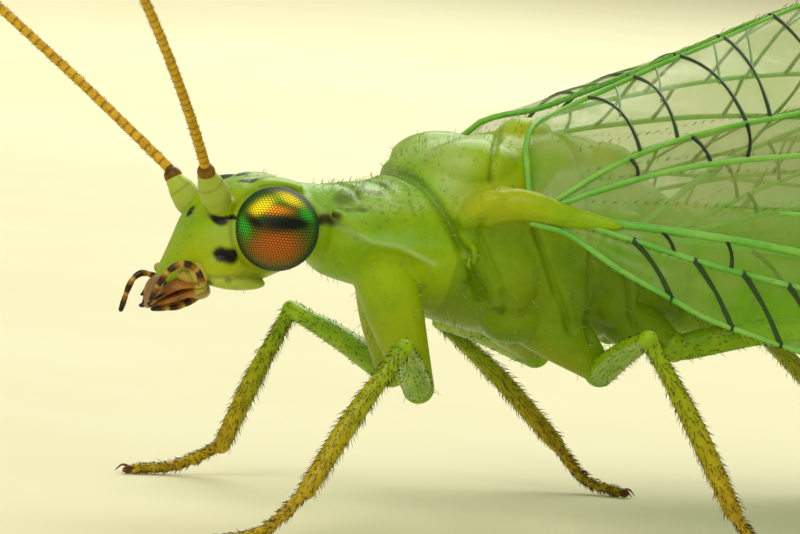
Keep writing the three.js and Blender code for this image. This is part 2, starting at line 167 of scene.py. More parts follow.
def tube(path: np.ndarray, radii: Any, sides: int = 16, flat: float = 1.0, ends: float = 1.0) -> Form:
    """A round-ended tube along a path.

    Args:
        path: Points along its middle.
        radii: One radius, or one for each point.
        sides: Points round it.
        flat: How much of its width its second axis keeps.
        ends: How far the rounded ends stand out, in radii.

    Returns:
        The tube, marked with "way" from 0 to 1 along it and "turn" from 0 to 1 round it.
    """
    radius = np.broadcast_to(np.asarray(radii, float), (len(path),))
    tangent, normal, other = frames_along(path)
    caps = [(math.cos(a), math.sin(a)) for a in np.linspace(math.pi / 2, 0, 5)[:-1]]
    rows = [(0, c, -s) for c, s in caps] + [(i, 1.0, 0.0) for i in range(len(path))]
    rows += [(len(path) - 1, c, s) for c, s in reversed(caps)]
    angle = np.linspace(0, 2 * math.pi, sides, endpoint=False)
    points, way = [], []
    for i, wide, out in rows:
        middle = path[i] + tangent[i] * radius[i] * out * ends
        ring = np.outer(np.cos(angle), normal[i]) + flat * np.outer(np.sin(angle), other[i])
        points.append(middle + ring * radius[i] * max(wide, 0.02))
        way.append(np.full(sides, i / (len(path) - 1)))
    count = len(rows)
    faces = [
        (r * sides + s, r * sides + (s + 1) % sides, (r + 1) * sides + (s + 1) % sides, (r + 1) * sides + s)
        for r in range(count - 1)
        for s in range(sides)
    ]
    faces += [tuple(reversed(range(sides))), tuple(range((count - 1) * sides, count * sides))]
    form = Form(np.concatenate(points), faces)
    return form.mark("way", np.concatenate(way)).mark("turn", np.tile(angle / (2 * math.pi), count))


def egg(centre: Sequence[float], half: Sequence[float], pitch: float = 0.0, sides: int = 32) -> Form:
    """An egg with three half axes, nodding by pitch about x."""
    rings = sides // 2
    theta = np.linspace(0.02, math.pi - 0.02, rings + 1)
    phi = np.linspace(0, 2 * math.pi, sides, endpoint=False)
    ball = np.stack(
        [
            np.outer(np.sin(theta), np.cos(phi)),
            np.outer(np.sin(theta), np.sin(phi)),
            np.outer(np.cos(theta), np.ones(sides)),
        ],
        -1,
    ).reshape(-1, 3) * np.asarray(half)
    c, s = math.cos(pitch), math.sin(pitch)
    ball = ball @ np.array([[1, 0, 0], [0, c, s], [0, -s, c]]) + np.asarray(centre)
    faces = [
        ((r + 1) * sides + k, (r + 1) * sides + (k + 1) % sides, r * sides + (k + 1) % sides, r * sides + k)
        for r in range(rings)
        for k in range(sides)
    ]
    faces += [tuple(range(sides)), tuple(reversed(range(rings * sides, (rings + 1) * sides)))]
    return Form(ball, faces)


def trunk(sections: Rows, squareness: float, sides: int = 72, count: int = 90) -> Form:
    """A body of upright sections [y, half width, top, widest level, bottom]."""
    y = np.linspace(sections[0][0], sections[-1][0], count)
    wide, top, level, bottom = (along(sections, y, k) for k in (1, 2, 3, 4))
    angle = np.linspace(0, 2 * math.pi, sides, endpoint=False)
    power = 2 / squareness
    c, s = np.cos(angle), np.sin(angle)
    across = np.sign(c) * np.abs(c) ** power
    up = np.sign(s) * np.abs(s) ** power
    height = np.where(s[None] > 0, (top - level)[:, None], (level - bottom)[:, None])
    points = np.stack([wide[:, None] * across, np.repeat(y[:, None], sides, 1),
        level[:, None] + height * up], -1)
    faces = [
        (r * sides + k, r * sides + (k + 1) % sides, (r + 1) * sides + (k + 1) % sides, (r + 1) * sides + k)
        for r in range(count - 1)
        for k in range(sides)
    ]
    faces += [tuple(reversed(range(sides))), tuple(range((count - 1) * sides, count * sides))]
    return Form(points.reshape(-1, 3), faces)


def mesh_of(name: str, form: Form, scale: float = MM) -> bpy.types.Mesh:
    """A mesh with a form's points on the frame, its marks as attributes and smooth faces."""
    mesh = bpy.data.meshes.new(name)
    placed = (form.points + np.array([0, SHIFT_Y, 0])) * scale
    mesh.from_pydata(placed.tolist(), [], form.faces)
    for mark, values in form.marks.items():
        mesh.attributes.new(mark, "FLOAT", "POINT").data.foreach_set("value", values.astype(np.float32))
    mesh.shade_smooth()
    return mesh


def add_piece(name: str, form: Form, material: bpy.types.Material,
    nodes: Sequence[str] = ()) -> Any:
    """Makes a form a piece that rides on the frame.

    Args:
        name: The piece's name.
        form: Its shape.
        material: Its finish.
        nodes: The solids that it stands for.

    Returns:
        The piece.
    """
    piece = bpy.data.objects.new(name, mesh_of(name, form))
    bpy.context.scene.collection.objects.link(piece)
    piece.data.materials.append(material)
    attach(piece, "root")
    if nodes:
        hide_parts(*nodes)
    LOG.info("%s: %d faces", name, len(piece.data.polygons))
    return piece


def one_skin(forms: Sequence[Form], voxel: float, smoothing: int) -> Form:
    """Fuses forms into one even skin.

    Args:
        forms: Closed forms that overlap.
        voxel: The skin's grain in millimetres.
        smoothing: How many times it is evened out.

    Returns:
        The fused skin.
    """
    piece = bpy.data.objects.new("fusing", mesh_of("fusing", joined(forms), 1.0))
    bpy.context.scene.collection.objects.link(piece)
    remesh = piece.modifiers.new("fuse", "REMESH")
    remesh.mode, remesh.voxel_size, remesh.adaptivity = "VOXEL", voxel, 0.0
    even = piece.modifiers.new("even", "SMOOTH")
    even.factor, even.iterations = 0.5, smoothing
    bpy.context.view_layer.update()
    mesh = bpy.data.meshes.new_from_object(piece.evaluated_get(bpy.context.evaluated_depsgraph_get()))
    flat = np.empty(len(mesh.vertices) * 3, np.float32)
    mesh.vertices.foreach_get("co", flat)
    points = flat.reshape(-1, 3).astype(float) - np.array([0, SHIFT_Y, 0])
    skin = Form(points, [tuple(face.vertices) for face in mesh.polygons])
    bpy.data.objects.remove(piece)
    bpy.data.meshes.remove(mesh)
    return skin


def outward(form: Form) -> np.ndarray:
    """The outward direction at each point of a form."""
    mesh = mesh_of("probe", Form(form.points, form.faces), 1.0)
    flat = np.empty(len(form.points) * 3, np.float32)
    mesh.vertices.foreach_get("normal", flat)
    bpy.data.meshes.remove(mesh)
    return flat.reshape(-1, 3).astype(float)


def spot(points: np.ndarray, centre: Sequence[float], reach: Sequence[float],
    edge: float = 6.0) -> np.ndarray:
    """How deep each point, mirrored to the left side, lies in a soft-edged egg: 1 inside and 0 outside."""
    folded = points * np.array([1, 1, 1])
    folded[:, 0] = np.abs(folded[:, 0])
    away = np.linalg.norm((folded - np.asarray(centre)) / np.asarray(reach), axis=1)
    return 1 / (1 + np.exp(np.clip(edge * (away - 1), -40, 40)))


def segment_distance(points: np.ndarray, start: Sequence[float], end: Sequence[float]) -> np.ndarray:
    """Each point's distance from a straight line between two [y, z] places, seen from the side."""
    a, b = np.asarray(start, float), np.asarray(end, float)
    flat = points[:, 1:]
    t = np.clip(((flat - a) @ (b - a)) / ((b - a) @ (b - a)), 0, 1)
    return np.linalg.norm(flat - (a + t[:, None] * (b - a)), axis=1)


# Finishes


class Bench:
    """A node tree with short ways to add nodes and join them."""

    def __init__(self, tree: bpy.types.NodeTree) -> None:
        """Starts on a tree."""
        self.tree = tree

    def node(self, kind: str, inputs: dict[Any, Any] | None = None, **settings: Any) -> bpy.types.Node:
        """Adds a node.

        Args:
            kind: The node's type.
            inputs: Values or sockets for its inputs.
            settings: Its own settings.

        Returns:
            The node.
        """
        made = self.tree.nodes.new(kind)
        for name, value in settings.items():
            setattr(made, name, value)
        for name, value in (inputs or {}).items():
            if isinstance(value, bpy.types.NodeSocket):
                self.tree.links.new(value, made.inputs[name])
            else:
                made.inputs[name].default_value = value
        return made

    def maths(self, operation: str, *values: Any) -> bpy.types.NodeSocket:
        """The result of one sum on values or sockets."""
        return self.node("ShaderNodeMath", dict(enumerate(values)), operation=operation).outputs[0]

    def mark(self, name: str) -> bpy.types.NodeSocket:
        """A mark of the mesh as a number."""
        return self.node("ShaderNodeAttribute", attribute_name=name).outputs["Fac"]

    def mix(self, share: Any, first: Any, second: Any) -> bpy.types.NodeSocket:
        """Two colours mixed by a share."""
        mixer = self.node("ShaderNodeMix", data_type="RGBA")
        for socket, value in ((mixer.inputs[0], share), (mixer.inputs[6], first), (mixer.inputs[7], second)):
            if isinstance(value, bpy.types.NodeSocket):
                self.tree.links.new(value, socket)
            else:
                socket.default_value = value
        return mixer.outputs[2]

    def group(self, tree: bpy.types.NodeTree, inputs: dict[str, Any]) -> bpy.types.Node:
        """Places a shared effect with its values."""
        made = self.tree.nodes.new("ShaderNodeGroup")
        made.node_tree = tree
        for name, value in inputs.items():
            if isinstance(value, bpy.types.NodeSocket):
                self.tree.links.new(value, made.inputs[name])
            else:
                made.inputs[name].default_value = value
        return made


def effect(name: str, inputs: dict[str, tuple[str, Any]], outputs: dict[str, str]) -> tuple[Any, Any, Any,
    Bench]:
    """Starts a shared effect.

    Args:
        name: The group's name.
        inputs: Each input's socket type and usual value.
        outputs: Each output's socket type.

    Returns:
        The group's tree, its input node, its output node and a bench on it.
    """
    tree = bpy.data.node_groups.new(name, "ShaderNodeTree")
    for title, (kind, value) in inputs.items():
        tree.interface.new_socket(title, in_out="INPUT", socket_type=kind).default_value = value
    for title, kind in outputs.items():
        tree.interface.new_socket(title, in_out="OUTPUT", socket_type=kind)
    bench = Bench(tree)
    return tree, bench.node("NodeGroupInput"), bench.node("NodeGroupOutput"), bench


def make_mottle() -> bpy.types.NodeTree:
    """A colour that drifts between two others in soft patches, with fine flecks."""
    tree, given, out, bench = effect(
        "soft_mottle",
        {
            "First": ("NodeSocketColor", (1, 1, 1, 1)),
            "Second": ("NodeSocketColor", (0, 0, 0, 1)),
            "Scale": ("NodeSocketFloat", 2000.0),
            "Amount": ("NodeSocketFloat", 0.5),
        },
        {"Color": "NodeSocketColor", "Mask": "NodeSocketFloat"},
    )
    place = bench.node("ShaderNodeTexCoord").outputs["Object"]
    broad = bench.node("ShaderNodeTexNoise", {"Vector": place, "Scale": given.outputs["Scale"],
        "Detail": 4.0})
    fine_scale = bench.maths("MULTIPLY", given.outputs["Scale"], 7.0)
    fine = bench.node("ShaderNodeTexNoise", {"Vector": place, "Scale": fine_scale, "Detail": 2.0})
    both = bench.maths("ADD", bench.maths("MULTIPLY", broad.outputs[0], 0.75),
        bench.maths("MULTIPLY", fine.outputs[0], 0.25))
    shaped = bench.node("ShaderNodeMapRange", {"Value": both, "From Min": 0.38, "From Max": 0.62})
    mask = bench.maths("MULTIPLY", shaped.outputs[0], given.outputs["Amount"])
    bench.tree.links.new(bench.mix(mask, given.outputs["First"], given.outputs["Second"]),
        out.inputs["Color"])
    bench.tree.links.new(mask, out.inputs["Mask"])
    return tree


def make_relief() -> bpy.types.NodeTree:
    """The fine pebbled relief of insect skin, as a height."""
    tree, given, out, bench = effect(
        "skin_relief",
        {"Cells": ("NodeSocketFloat", 30000.0), "Waves": ("NodeSocketFloat", 9000.0)},
        {"Height": "NodeSocketFloat"},
    )
    place = bench.node("ShaderNodeTexCoord").outputs["Object"]
    cells = bench.node("ShaderNodeTexVoronoi", {"Vector": place, "Scale": given.outputs["Cells"]})
    waves = bench.node("ShaderNodeTexNoise", {"Vector": place, "Scale": given.outputs["Waves"],
        "Detail": 3.0})
    height = bench.maths("ADD", bench.maths("MULTIPLY", cells.outputs[0], 0.35), waves.outputs[0])
    bench.tree.links.new(height, out.inputs["Height"])
    return tree


@dataclass(frozen=True)
class Finish:
    """The plain values of one finish."""

    name: str
    roughness: float = 0.4
    subsurface: float = 0.0
    radius: tuple[float, float, float] = (0.5, 0.8, 0.15)
    depth: float = 0.0002
    coat: float = 0.0
    shine: float = 0.2
    relief: float = 0.000004
    metallic: float = 0.0
    alpha: float = 1.0

    def start(self, reliefs: bpy.types.NodeTree | None) -> tuple[bpy.types.Material, Bench, bpy.types.Node]:
        """Makes the material with its shader, and its relief if one is given."""
        material = bpy.data.materials.new(self.name)
        material.use_nodes = True
        bench = Bench(material.node_tree)
        shader = material.node_tree.nodes["Principled BSDF"]
        for socket, value in (
            ("Roughness", self.roughness),
            ("Subsurface Weight", self.subsurface),
            ("Subsurface Radius", self.radius),
            ("Subsurface Scale", self.depth),
            ("Coat Weight", self.coat),
            ("Coat Roughness", 0.16),
            ("Specular IOR Level", self.shine),
            ("Metallic", self.metallic),
            ("Alpha", self.alpha),
        ):
            shader.inputs[socket].default_value = value
        if reliefs is not None:
            height = bench.group(reliefs, {}).outputs["Height"]
            bump = bench.node("ShaderNodeBump", {"Height": height, "Distance": self.relief, "Strength": 0.8})
            bench.tree.links.new(bump.outputs[0], shader.inputs["Normal"])
        return material, bench, shader


class Finishes:
    """Every material of the animal and its setting."""

    LEAF = (0.16, 0.35, 0.001, 1)
    LIME = (0.31, 0.48, 0.001, 1)
    YELLOW = (0.50, 0.47, 0.003, 1)
    # Olive for painted shade in grooves, on the lower flanks and underneath.
    PAINTED_SHADE_OLIVE = (0.07, 0.12, 0.002, 1)
    CREAM = (0.50, 0.62, 0.26, 1)
    TEAL = (0.24, 0.54, 0.13, 1)
    BROWN = (0.035, 0.014, 0.006, 1)
    BLACK = (0.004, 0.003, 0.003, 1)
    GOLD = (0.62, 0.42, 0.008, 1)
    OCHRE = (0.38, 0.20, 0.005, 1)

    def __init__(self) -> None:
        """Builds the shared effects, then each material."""
        self.mottle = make_mottle()
        self.relief = make_relief()
        self.skin = self.make_skin()
        self.limb = self.make_limb()
        self.feeler = self.make_feeler()
        self.pedicel = self.make_plain(Finish("dark_pedicel", 0.35), (0.06, 0.025, 0.004, 1),
            (0.3, 0.15, 0.01, 1))
        self.eye = self.make_eye()
        self.amber = self.make_amber()
        self.labrum = self.make_plain(Finish("labrum_horn", 0.24, 0.1, coat=0.5), (0.4, 0.2, 0.02, 1),
            (0.14, 0.04, 0.006, 1))
        self.vein = self.make_vein()
        self.membrane = self.make_membrane()
        self.dark_hair = self.make_plain(Finish("dark_bristle", 0.45), (0.012, 0.009, 0.005, 1),
            (0.05, 0.035, 0.012, 1), False)
        self.pale_hair = self.make_plain(Finish("pale_hair", 0.4), (0.6, 0.65, 0.25, 1),
            (0.2, 0.22, 0.06, 1), False)
        self.claw = self.make_plain(Finish("claw_horn", 0.25), (0.05, 0.02, 0.006, 1), (0.22, 0.1, 0.02, 1))
        self.floor = self.make_plain(Finish("pale_floor", 0.75), (0.95, 0.91, 0.68, 1),
            (0.90, 0.84, 0.58, 1), False, 60.0)

    def make_plain(
        self, finish: Finish, first: tuple, second: tuple, reliefs: bool = True, scale: float = 5000.0
    ) -> bpy.types.Material:
        """A finish whose colour drifts softly between two."""
        material, bench, shader = finish.start(self.relief if reliefs else None)
        mottle = bench.group(self.mottle, {"First": first, "Second": second, "Scale": scale, "Amount": 0.7})
        bench.tree.links.new(mottle.outputs["Color"], shader.inputs["Base Color"])
        return material

    def make_skin(self) -> bpy.types.Material:
        """Yellow-green skin with paler, yellower, darker and black marks; its olive marks are painted shade.
        """
        finish = Finish("green_skin", 0.34, 0.2, depth=0.0001, coat=0.1, shine=0.15, relief=0.00001)
        material, bench, shader = finish.start(self.relief)
        mottle = bench.group(self.mottle, {"First": self.LIME, "Second": self.LEAF, "Scale": 1900.0,
            "Amount": 0.75})
        colour = mottle.outputs["Color"]
        for mark, tint, share in (
            # Painted shade: olive where the shade mark lies.
            ("shade", self.PAINTED_SHADE_OLIVE, 0.8),
            ("yellow", self.YELLOW, 0.75),
            ("teal", self.TEAL, 0.8),
            ("pale", self.CREAM, 0.7),
            ("brown", self.BROWN, 0.95),
            ("black", self.BLACK, 1.0),
        ):
            colour = bench.mix(bench.maths("MULTIPLY", bench.mark(mark), share), colour, tint)
        bench.tree.links.new(colour, shader.inputs["Base Color"])
        return material

    def make_limb(self) -> bpy.types.Material:
        """Green limbs that turn gold towards the feet, with dark flecks at the bristles' roots."""
        finish = Finish("green_limb", 0.36, 0.2, depth=0.0001, coat=0.1, relief=0.000006)
        material, bench, shader = finish.start(self.relief)
        mottle = bench.group(self.mottle, {"First": self.LIME, "Second": self.LEAF, "Scale": 3200.0,
            "Amount": 0.8})
        gold = bench.group(self.mottle, {"First": self.GOLD, "Second": self.OCHRE, "Scale": 6000.0,
            "Amount": 0.7})
        colour = bench.mix(bench.mark("gold"), mottle.outputs["Color"], gold.outputs["Color"])
        place = bench.node("ShaderNodeTexCoord").outputs["Object"]
        dots = bench.node("ShaderNodeTexVoronoi", {"Vector": place, "Scale": 17000.0}).outputs[0]
        fleck = bench.node("ShaderNodeMapRange", {"Value": dots, "From Min": 0.12, "From Max": 0.26,
            "To Min": 0.75, "To Max": 0.0})
        colour = bench.mix(fleck.outputs[0], colour, (0.06, 0.05, 0.008, 1))
        bench.tree.links.new(colour, shader.inputs["Base Color"])
        return material

    def make_feeler(self) -> bpy.types.Material:
        """Gold flagellum, each of its rings darker at the joint."""
        material, bench, shader = Finish("gold_feeler", 0.5, 0.15, relief=0.000004).start(self.relief)
        mottle = bench.group(self.mottle, {"First": (0.72, 0.44, 0.015, 1), "Second": (0.5, 0.24, 0.01, 1),
            "Scale": 9000.0, "Amount": 0.7})
        colour = bench.mix(bench.mark("joint"), mottle.outputs["Color"], (0.18, 0.08, 0.008, 1))
        bench.tree.links.new(colour, shader.inputs["Base Color"])
        return material

    def make_eye(self) -> bpy.types.Material:
        """Metallic-looking lenses with painted reflections: gold highlights over a dark reflected band over
        copper, green sheen at the sides, dark between the lenses; the colour also glows as painted light.
        """
        material, bench, shader = Finish("eye_lenses", 0.4, coat=0.05, shine=0.1).start(None)
        shader.inputs["Coat Roughness"].default_value = 0.18
        mottle = bench.group(
            self.mottle, {"First": (0.01, 0.06, 0.004, 1), "Second": (0.04, 0.09, 0.003, 1), "Scale": 4000.0,
                "Amount": 0.6}
        )
        colour = mottle.outputs["Color"]
        # Painted reflections: gold highlights, orange and copper reflected bands, a dark reflected band,
        # green sheen at the sides, and a painted dark edge as rim.
        for mark, tint in (
            ("copper", (0.30, 0.07, 0.004, 1)),
            ("lime", (0.02, 0.26, 0.01, 1)),
            ("orange", (0.70, 0.22, 0.003, 1)),
            ("gold", (0.80, 0.62, 0.004, 1)),
            ("dark", (0.003, 0.004, 0.002, 1)),
            ("rim", (0.001, 0.012, 0.010, 1)),
        ):
            colour = bench.mix(bench.mark(mark), colour, tint)
        lens = bench.node("ShaderNodeMapRange", {"Value": bench.mark("lens"), "From Min": 0.15,
            "From Max": 0.72})
        colour = bench.mix(lens.outputs[0], (0.003, 0.004, 0.002, 1), colour)
        bench.tree.links.new(colour, shader.inputs["Base Color"])
        # The eye glows with its painted colour, though it is no lamp.
        bench.tree.links.new(colour, shader.inputs["Emission Color"])
        shader.inputs["Emission Strength"].default_value = 1.0
        return material

    def make_amber(self) -> bpy.types.Material:
        """Glossy amber mouthparts that turn black towards their tips."""
        material, bench, shader = Finish("amber_mouth", 0.24, 0.15, depth=0.00008,
            coat=0.3).start(self.relief)
        mottle = bench.group(
            self.mottle, {"First": (0.42, 0.17, 0.012, 1), "Second": (0.16, 0.03, 0.005, 1), "Scale": 7000.0,
                "Amount": 0.9}
        )
        colour = bench.mix(bench.mark("pale"), mottle.outputs["Color"], (0.52, 0.44, 0.07, 1))
        colour = bench.mix(bench.mark("black"), colour, self.BLACK)
        bench.tree.links.new(colour, shader.inputs["Base Color"])
        return material

    def make_vein(self) -> bpy.types.Material:
        """Green veins, the cross veins black."""
        material, bench, shader = Finish("wing_vein", 0.35, 0.2, coat=0.2).start(self.relief)
        mottle = bench.group(self.mottle, {"First": (0.12, 0.42, 0.04, 1), "Second": (0.28, 0.55, 0.10, 1),
            "Scale": 2500.0, "Amount": 0.8})
        colour = bench.mix(bench.mark("black"), mottle.outputs["Color"], (0.012, 0.02, 0.008, 1))
        bench.tree.links.new(colour, shader.inputs["Base Color"])
        return material

    def make_membrane(self) -> bpy.types.Material:
        """Clear wing film with a faint green tint and rainbow gloss."""
        finish = Finish("wing_film", 0.2, shine=0.5, alpha=0.26)
        material, bench, shader = finish.start(None)
        mottle = bench.group(
            self.mottle, {"First": (0.20, 0.52, 0.015, 1), "Second": (0.5, 0.55, 0.2, 1), "Scale": 700.0,
                "Amount": 0.9}
        )
        bench.tree.links.new(mottle.outputs["Color"], shader.inputs["Base Color"])
        shader.inputs["Thin Film Thickness"].default_value = 420.0
        shader.inputs["Thin Film IOR"].default_value = 1.5
        place = bench.node("ShaderNodeTexCoord").outputs["Object"]
        ripple = bench.node("ShaderNodeTexNoise", {"Vector": place, "Scale": 1500.0, "Detail": 3.0})
        bump = bench.node("ShaderNodeBump", {"Height": ripple.outputs[0], "Distance": 0.00006,
            "Strength": 0.6})
        bench.tree.links.new(bump.outputs[0], shader.inputs["Normal"])
        return material


# Hairs


@dataclass
class Hairs:
    """A coat of solid bristles, each a slim three-sided spike that bends once."""

    name: str
    seed: int
    thick: float = 0.005
    roots: list[np.ndarray] = field(default_factory=list)
    ways: list[np.ndarray] = field(default_factory=list)
    lengths: list[np.ndarray] = field(default_factory=list)
    places: list[np.ndarray] = field(default_factory=list)

    def grow(self, roots: np.ndarray, ways: np.ndarray, length: Any, places: np.ndarray) -> None:
        """Adds hairs.

        Args:
            roots: Where they stand.
            ways: Which way they point.
            length: One length or one for each.
            places: Each root's place on the unwrap of what it grows from, 0 to 1 both ways.
        """
        self.roots.append(roots)
        self.ways.append(ways / np.linalg.norm(ways, axis=1, keepdims=True))
        self.lengths.append(np.broadcast_to(np.asarray(length, float), (len(roots),)))
        self.places.append(places)

    def on_tube(self, form: Form, share: float, length: float, lean: float,
        strip: tuple[float, float]) -> None:
        """Grows hairs over a tube.

        Args:
            form: The tube.
            share: The share of its points that bear a hair.
            length: The usual length.
            lean: How far they lean along the tube, 0 upright and 1 flat.
            strip: The part of the unwrap's height that belongs to this tube.
        """
        draw = np.random.default_rng(self.seed + len(self.roots))
        normal = outward(form)
        way = form.marks["way"]
        inner = (way > 0.01) & (way < 0.99)
        chosen = np.flatnonzero((draw.random(len(way)) < share) & inner)
        ahead = np.array([form.points[way > 0.9].mean(0) - form.points[way < 0.1].mean(0)])
        ahead = ahead / np.linalg.norm(ahead)
        ways = normal[chosen] * (1 - lean) + ahead * lean + draw.normal(0, 0.12, (len(chosen), 3))
        places = np.stack([way[chosen], strip[0] + form.marks["turn"][chosen] * (strip[1] - strip[0])], 1)
        jitter = draw.normal(0, 0.004, (len(chosen), 3))
        self.grow(form.points[chosen] + jitter - normal[chosen] * 0.004, ways,
            length * draw.uniform(0.7, 1.2, len(chosen)), places)

    def build(self, material: bpy.types.Material, slot: Slot) -> None:
        """Makes the coat one piece, with its bake map."""
        draw = np.random.default_rng(self.seed)
        root, way = np.concatenate(self.roots), np.concatenate(self.ways)
        length, place = np.concatenate(self.lengths), np.concatenate(self.places)
        across = np.cross(way, draw.normal(size=way.shape))
        across /= np.linalg.norm(across, axis=1, keepdims=True)
        other = np.cross(way, across)
        corners = []
        for out, wide in ((0.0, 1.0), (0.55, 0.7)):
            for k in range(3):
                angle = 2 * math.pi * k / 3
                ring = across * math.cos(angle) + other * math.sin(angle)
                corners.append(root + way * (length * out)[:, None] + ring * self.thick * wide)
        bend = np.array([0, 0.12, -0.1])
        corners.append(root + (way + bend) * length[:, None])
        points = np.stack(corners, 1).reshape(-1, 3)
        points[:, 2] = np.maximum(points[:, 2], 0.002)  # a hair that meets the floor lies on it
        pattern = [(0, 1, 4, 3), (1, 2, 5, 4), (2, 0, 3, 5), (3, 4, 6), (4, 5, 6), (5, 3, 6), (2, 1, 0)]
        faces = [tuple(7 * i + k for k in face) for i in range(len(root)) for face in pattern]
        piece = add_piece(self.name, Form(points, faces), material)
        patch = 0.003 * np.array([(0, 0), (1, 0), (0.5, 1), (0.1, 0.3), (0.9, 0.3), (0.5, 0.9), (0.5, 0.5)])
        spread = (place[:, None, :] * 0.99 + patch[None]).reshape(-1, 2)
        corner = np.empty(len(piece.data.loops), np.int32)
        piece.data.loops.foreach_get("vertex_index", corner)
        layer = piece.data.uv_layers.new(name="OFBake")
        layer.data.foreach_set("uv", spread[corner].astype(np.float32).ravel())


# The animal


@dataclass
class Body:
    """Head, thorax, coxae and abdomen as one skin."""

    head: Rows = (
        (-0.9, 0.08, 2.2, 2.14, 2.09),
        (-0.86, 0.16, 2.27, 2.18, 2.07),
        (-0.78, 0.24, 2.44, 2.24, 2.06),
        (-0.7, 0.3, 2.62, 2.34, 2.07),
        (-0.62, 0.36, 2.8, 2.45, 2.08),
        (-0.48, 0.45, 2.96, 2.56, 2.09),
        (-0.28, 0.53, 3.08, 2.66, 2.1),
        (-0.06, 0.56, 3.13, 2.7, 2.13),
        (0.16, 0.55, 3.13, 2.7, 2.22),
        (0.36, 0.46, 3.1, 2.72, 2.32),
        (0.5, 0.36, 3.03, 2.72, 2.42),
    )
    thorax: Rows = (
        (0.6, 0.42, 3.05, 2.72, 2.36),
        (0.72, 0.51, 3.09, 2.74, 2.26),
        (0.9, 0.59, 3.11, 2.78, 2.2),
        (1.15, 0.63, 3.14, 2.8, 2.14),
        (1.35, 0.65, 3.2, 2.8, 2.06),
        (1.5, 0.7, 3.39, 2.82, 1.98),
        (1.7, 0.78, 3.51, 2.86, 1.92),
        (2.1, 0.87, 3.59, 2.9, 1.82),
        (2.6, 0.91, 3.69, 2.88, 1.74),
        (3.0, 0.87, 3.71, 2.8, 1.72),
        (3.4, 0.73, 3.61, 2.74, 1.74),
        (3.8, 0.65, 3.41, 2.66, 1.8),
        (4.2, 0.56, 3.15, 2.56, 1.88),
    )
    abdomen: Rows = (
        (4.0, 0.54, 3.1, 2.54, 1.9),
        (4.8, 0.62, 3.07, 2.46, 1.81),
        (5.8, 0.65, 3.03, 2.4, 1.74),
        (7.0, 0.63, 2.93, 2.3, 1.69),
        (8.2, 0.56, 2.79, 2.2, 1.63),
        (9.2, 0.47, 2.63, 2.1, 1.61),
        (9.9, 0.37, 2.49, 2.06, 1.65),
        (10.25, 0.22, 2.34, 2.06, 1.78),
        (10.38, 0.08, 2.14, 2.06, 1.98),
    )
    voxel: float = 0.02

    def lumps(self, side: float) -> list[Form]:
        """The lobes and coxae of one side."""
        forms = []
        for centre, half, pitch in (
            ((0.31, -0.46, 2.86), (0.14, 0.13, 0.1), 0.4),
            ((0.33, -0.38, 2.34), (0.16, 0.26, 0.16), 0.3),
            ((0.33, -0.27, 2.17), (0.16, 0.3, 0.075), 0.0),
            ((0.24, 0.1, 3.06), (0.2, 0.26, 0.09), 0.0),
            ((0.36, 2.05, 3.33), (0.42, 0.52, 0.29), 0.0),
            ((0.3, 3.42, 3.4), (0.34, 0.32, 0.25), 0.0),
            ((0.7, 2.33, 2.5), (0.22, 0.34, 0.46), 0.15),
            ((0.66, 2.95, 2.36), (0.2, 0.28, 0.5), 0.15),
            ((0.44, 2.55, 1.98), (0.3, 0.36, 0.26), 0.1),
            ((0.56, 3.5, 2.35), (0.18, 0.26, 0.42), 0.1),
            ((0.84, 1.86, 2.55), (0.07, 0.07, 0.14), 0.0),
            ((0.8, 2.26, 2.3), (0.1, 0.15, 0.08), 0.0),
            ((0.92, 2.02, 3.1), (0.13, 0.24, 0.12), 0.3),
            ((0.78, 3.42, 2.95), (0.13, 0.2, 0.1), 0.2),
        ):
            forms.append(egg(mirrored(centre, side), half, pitch))
        back = 0.0 if side > 0 else FAR_COXA_BACK
        for points, radii in (
            (((0.47, 0.62, 2.86), (0.58, 0.94, 2.66), (0.61, 1.22, 2.6), (0.64, 1.56, 2.47)),
                (0.05, 0.065, 0.04)),
            (((0.24, 1.18 + back, 2.5), (0.48, 1.37 + back, 1.8), (0.62, 1.54 + back, 1.3)),
                (0.32, 0.26, 0.15)),
            (((0.42, 2.8, 2.0), (0.58, 3.1, 1.76), (0.7, 3.34, 1.55)), (0.33, 0.26, 0.15)),
            (((0.42, 3.72, 2.0), (0.56, 3.95, 1.9), (0.66, 4.08, 1.8)), (0.26, 0.2, 0.14)),
            (((0.84, 1.9, 2.98), (1.06, 2.2, 3.08), (1.3, 2.66, 3.0), (1.56, 3.05, 2.97)),
                (0.17, 0.13, 0.04)),
            (((0.82, 1.78, 2.9), (0.98, 1.95, 3.08), (1.1, 2.2, 3.12)), (0.1, 0.12, 0.06)),
            (((0.7, 3.4, 2.88), (0.86, 3.5, 2.86), (1.02, 3.66, 2.84)), (0.15, 0.11, 0.06)),
        ):
            path = smooth_path([mirrored(p, side) for p in points], 24)
            radius = along([[0, radii[0]], [0.5, radii[1]], [1, radii[2]]], np.linspace(0, 1, 24))
            forms.append(tube(path, radius, 32))
        return forms

    def carve(self, skin: Form) -> None:
        """Cuts the sutures and the borders of the segments into the skin, and marks painted shade in the
        grooves.
        """
        points, normal = skin.points, outward(skin)
        y, z = points[:, 1], points[:, 2]
        flank = np.abs(points[:, 0]) > 0.35
        cut = np.zeros(len(points))

        def groove(distance: np.ndarray, depth: float, width: float, where: Any = True) -> None:
            """Adds one groove to the cut."""
            nonlocal cut
            cut = np.maximum(cut, np.where(where, depth * np.exp(-((distance / width) ** 2)), 0))

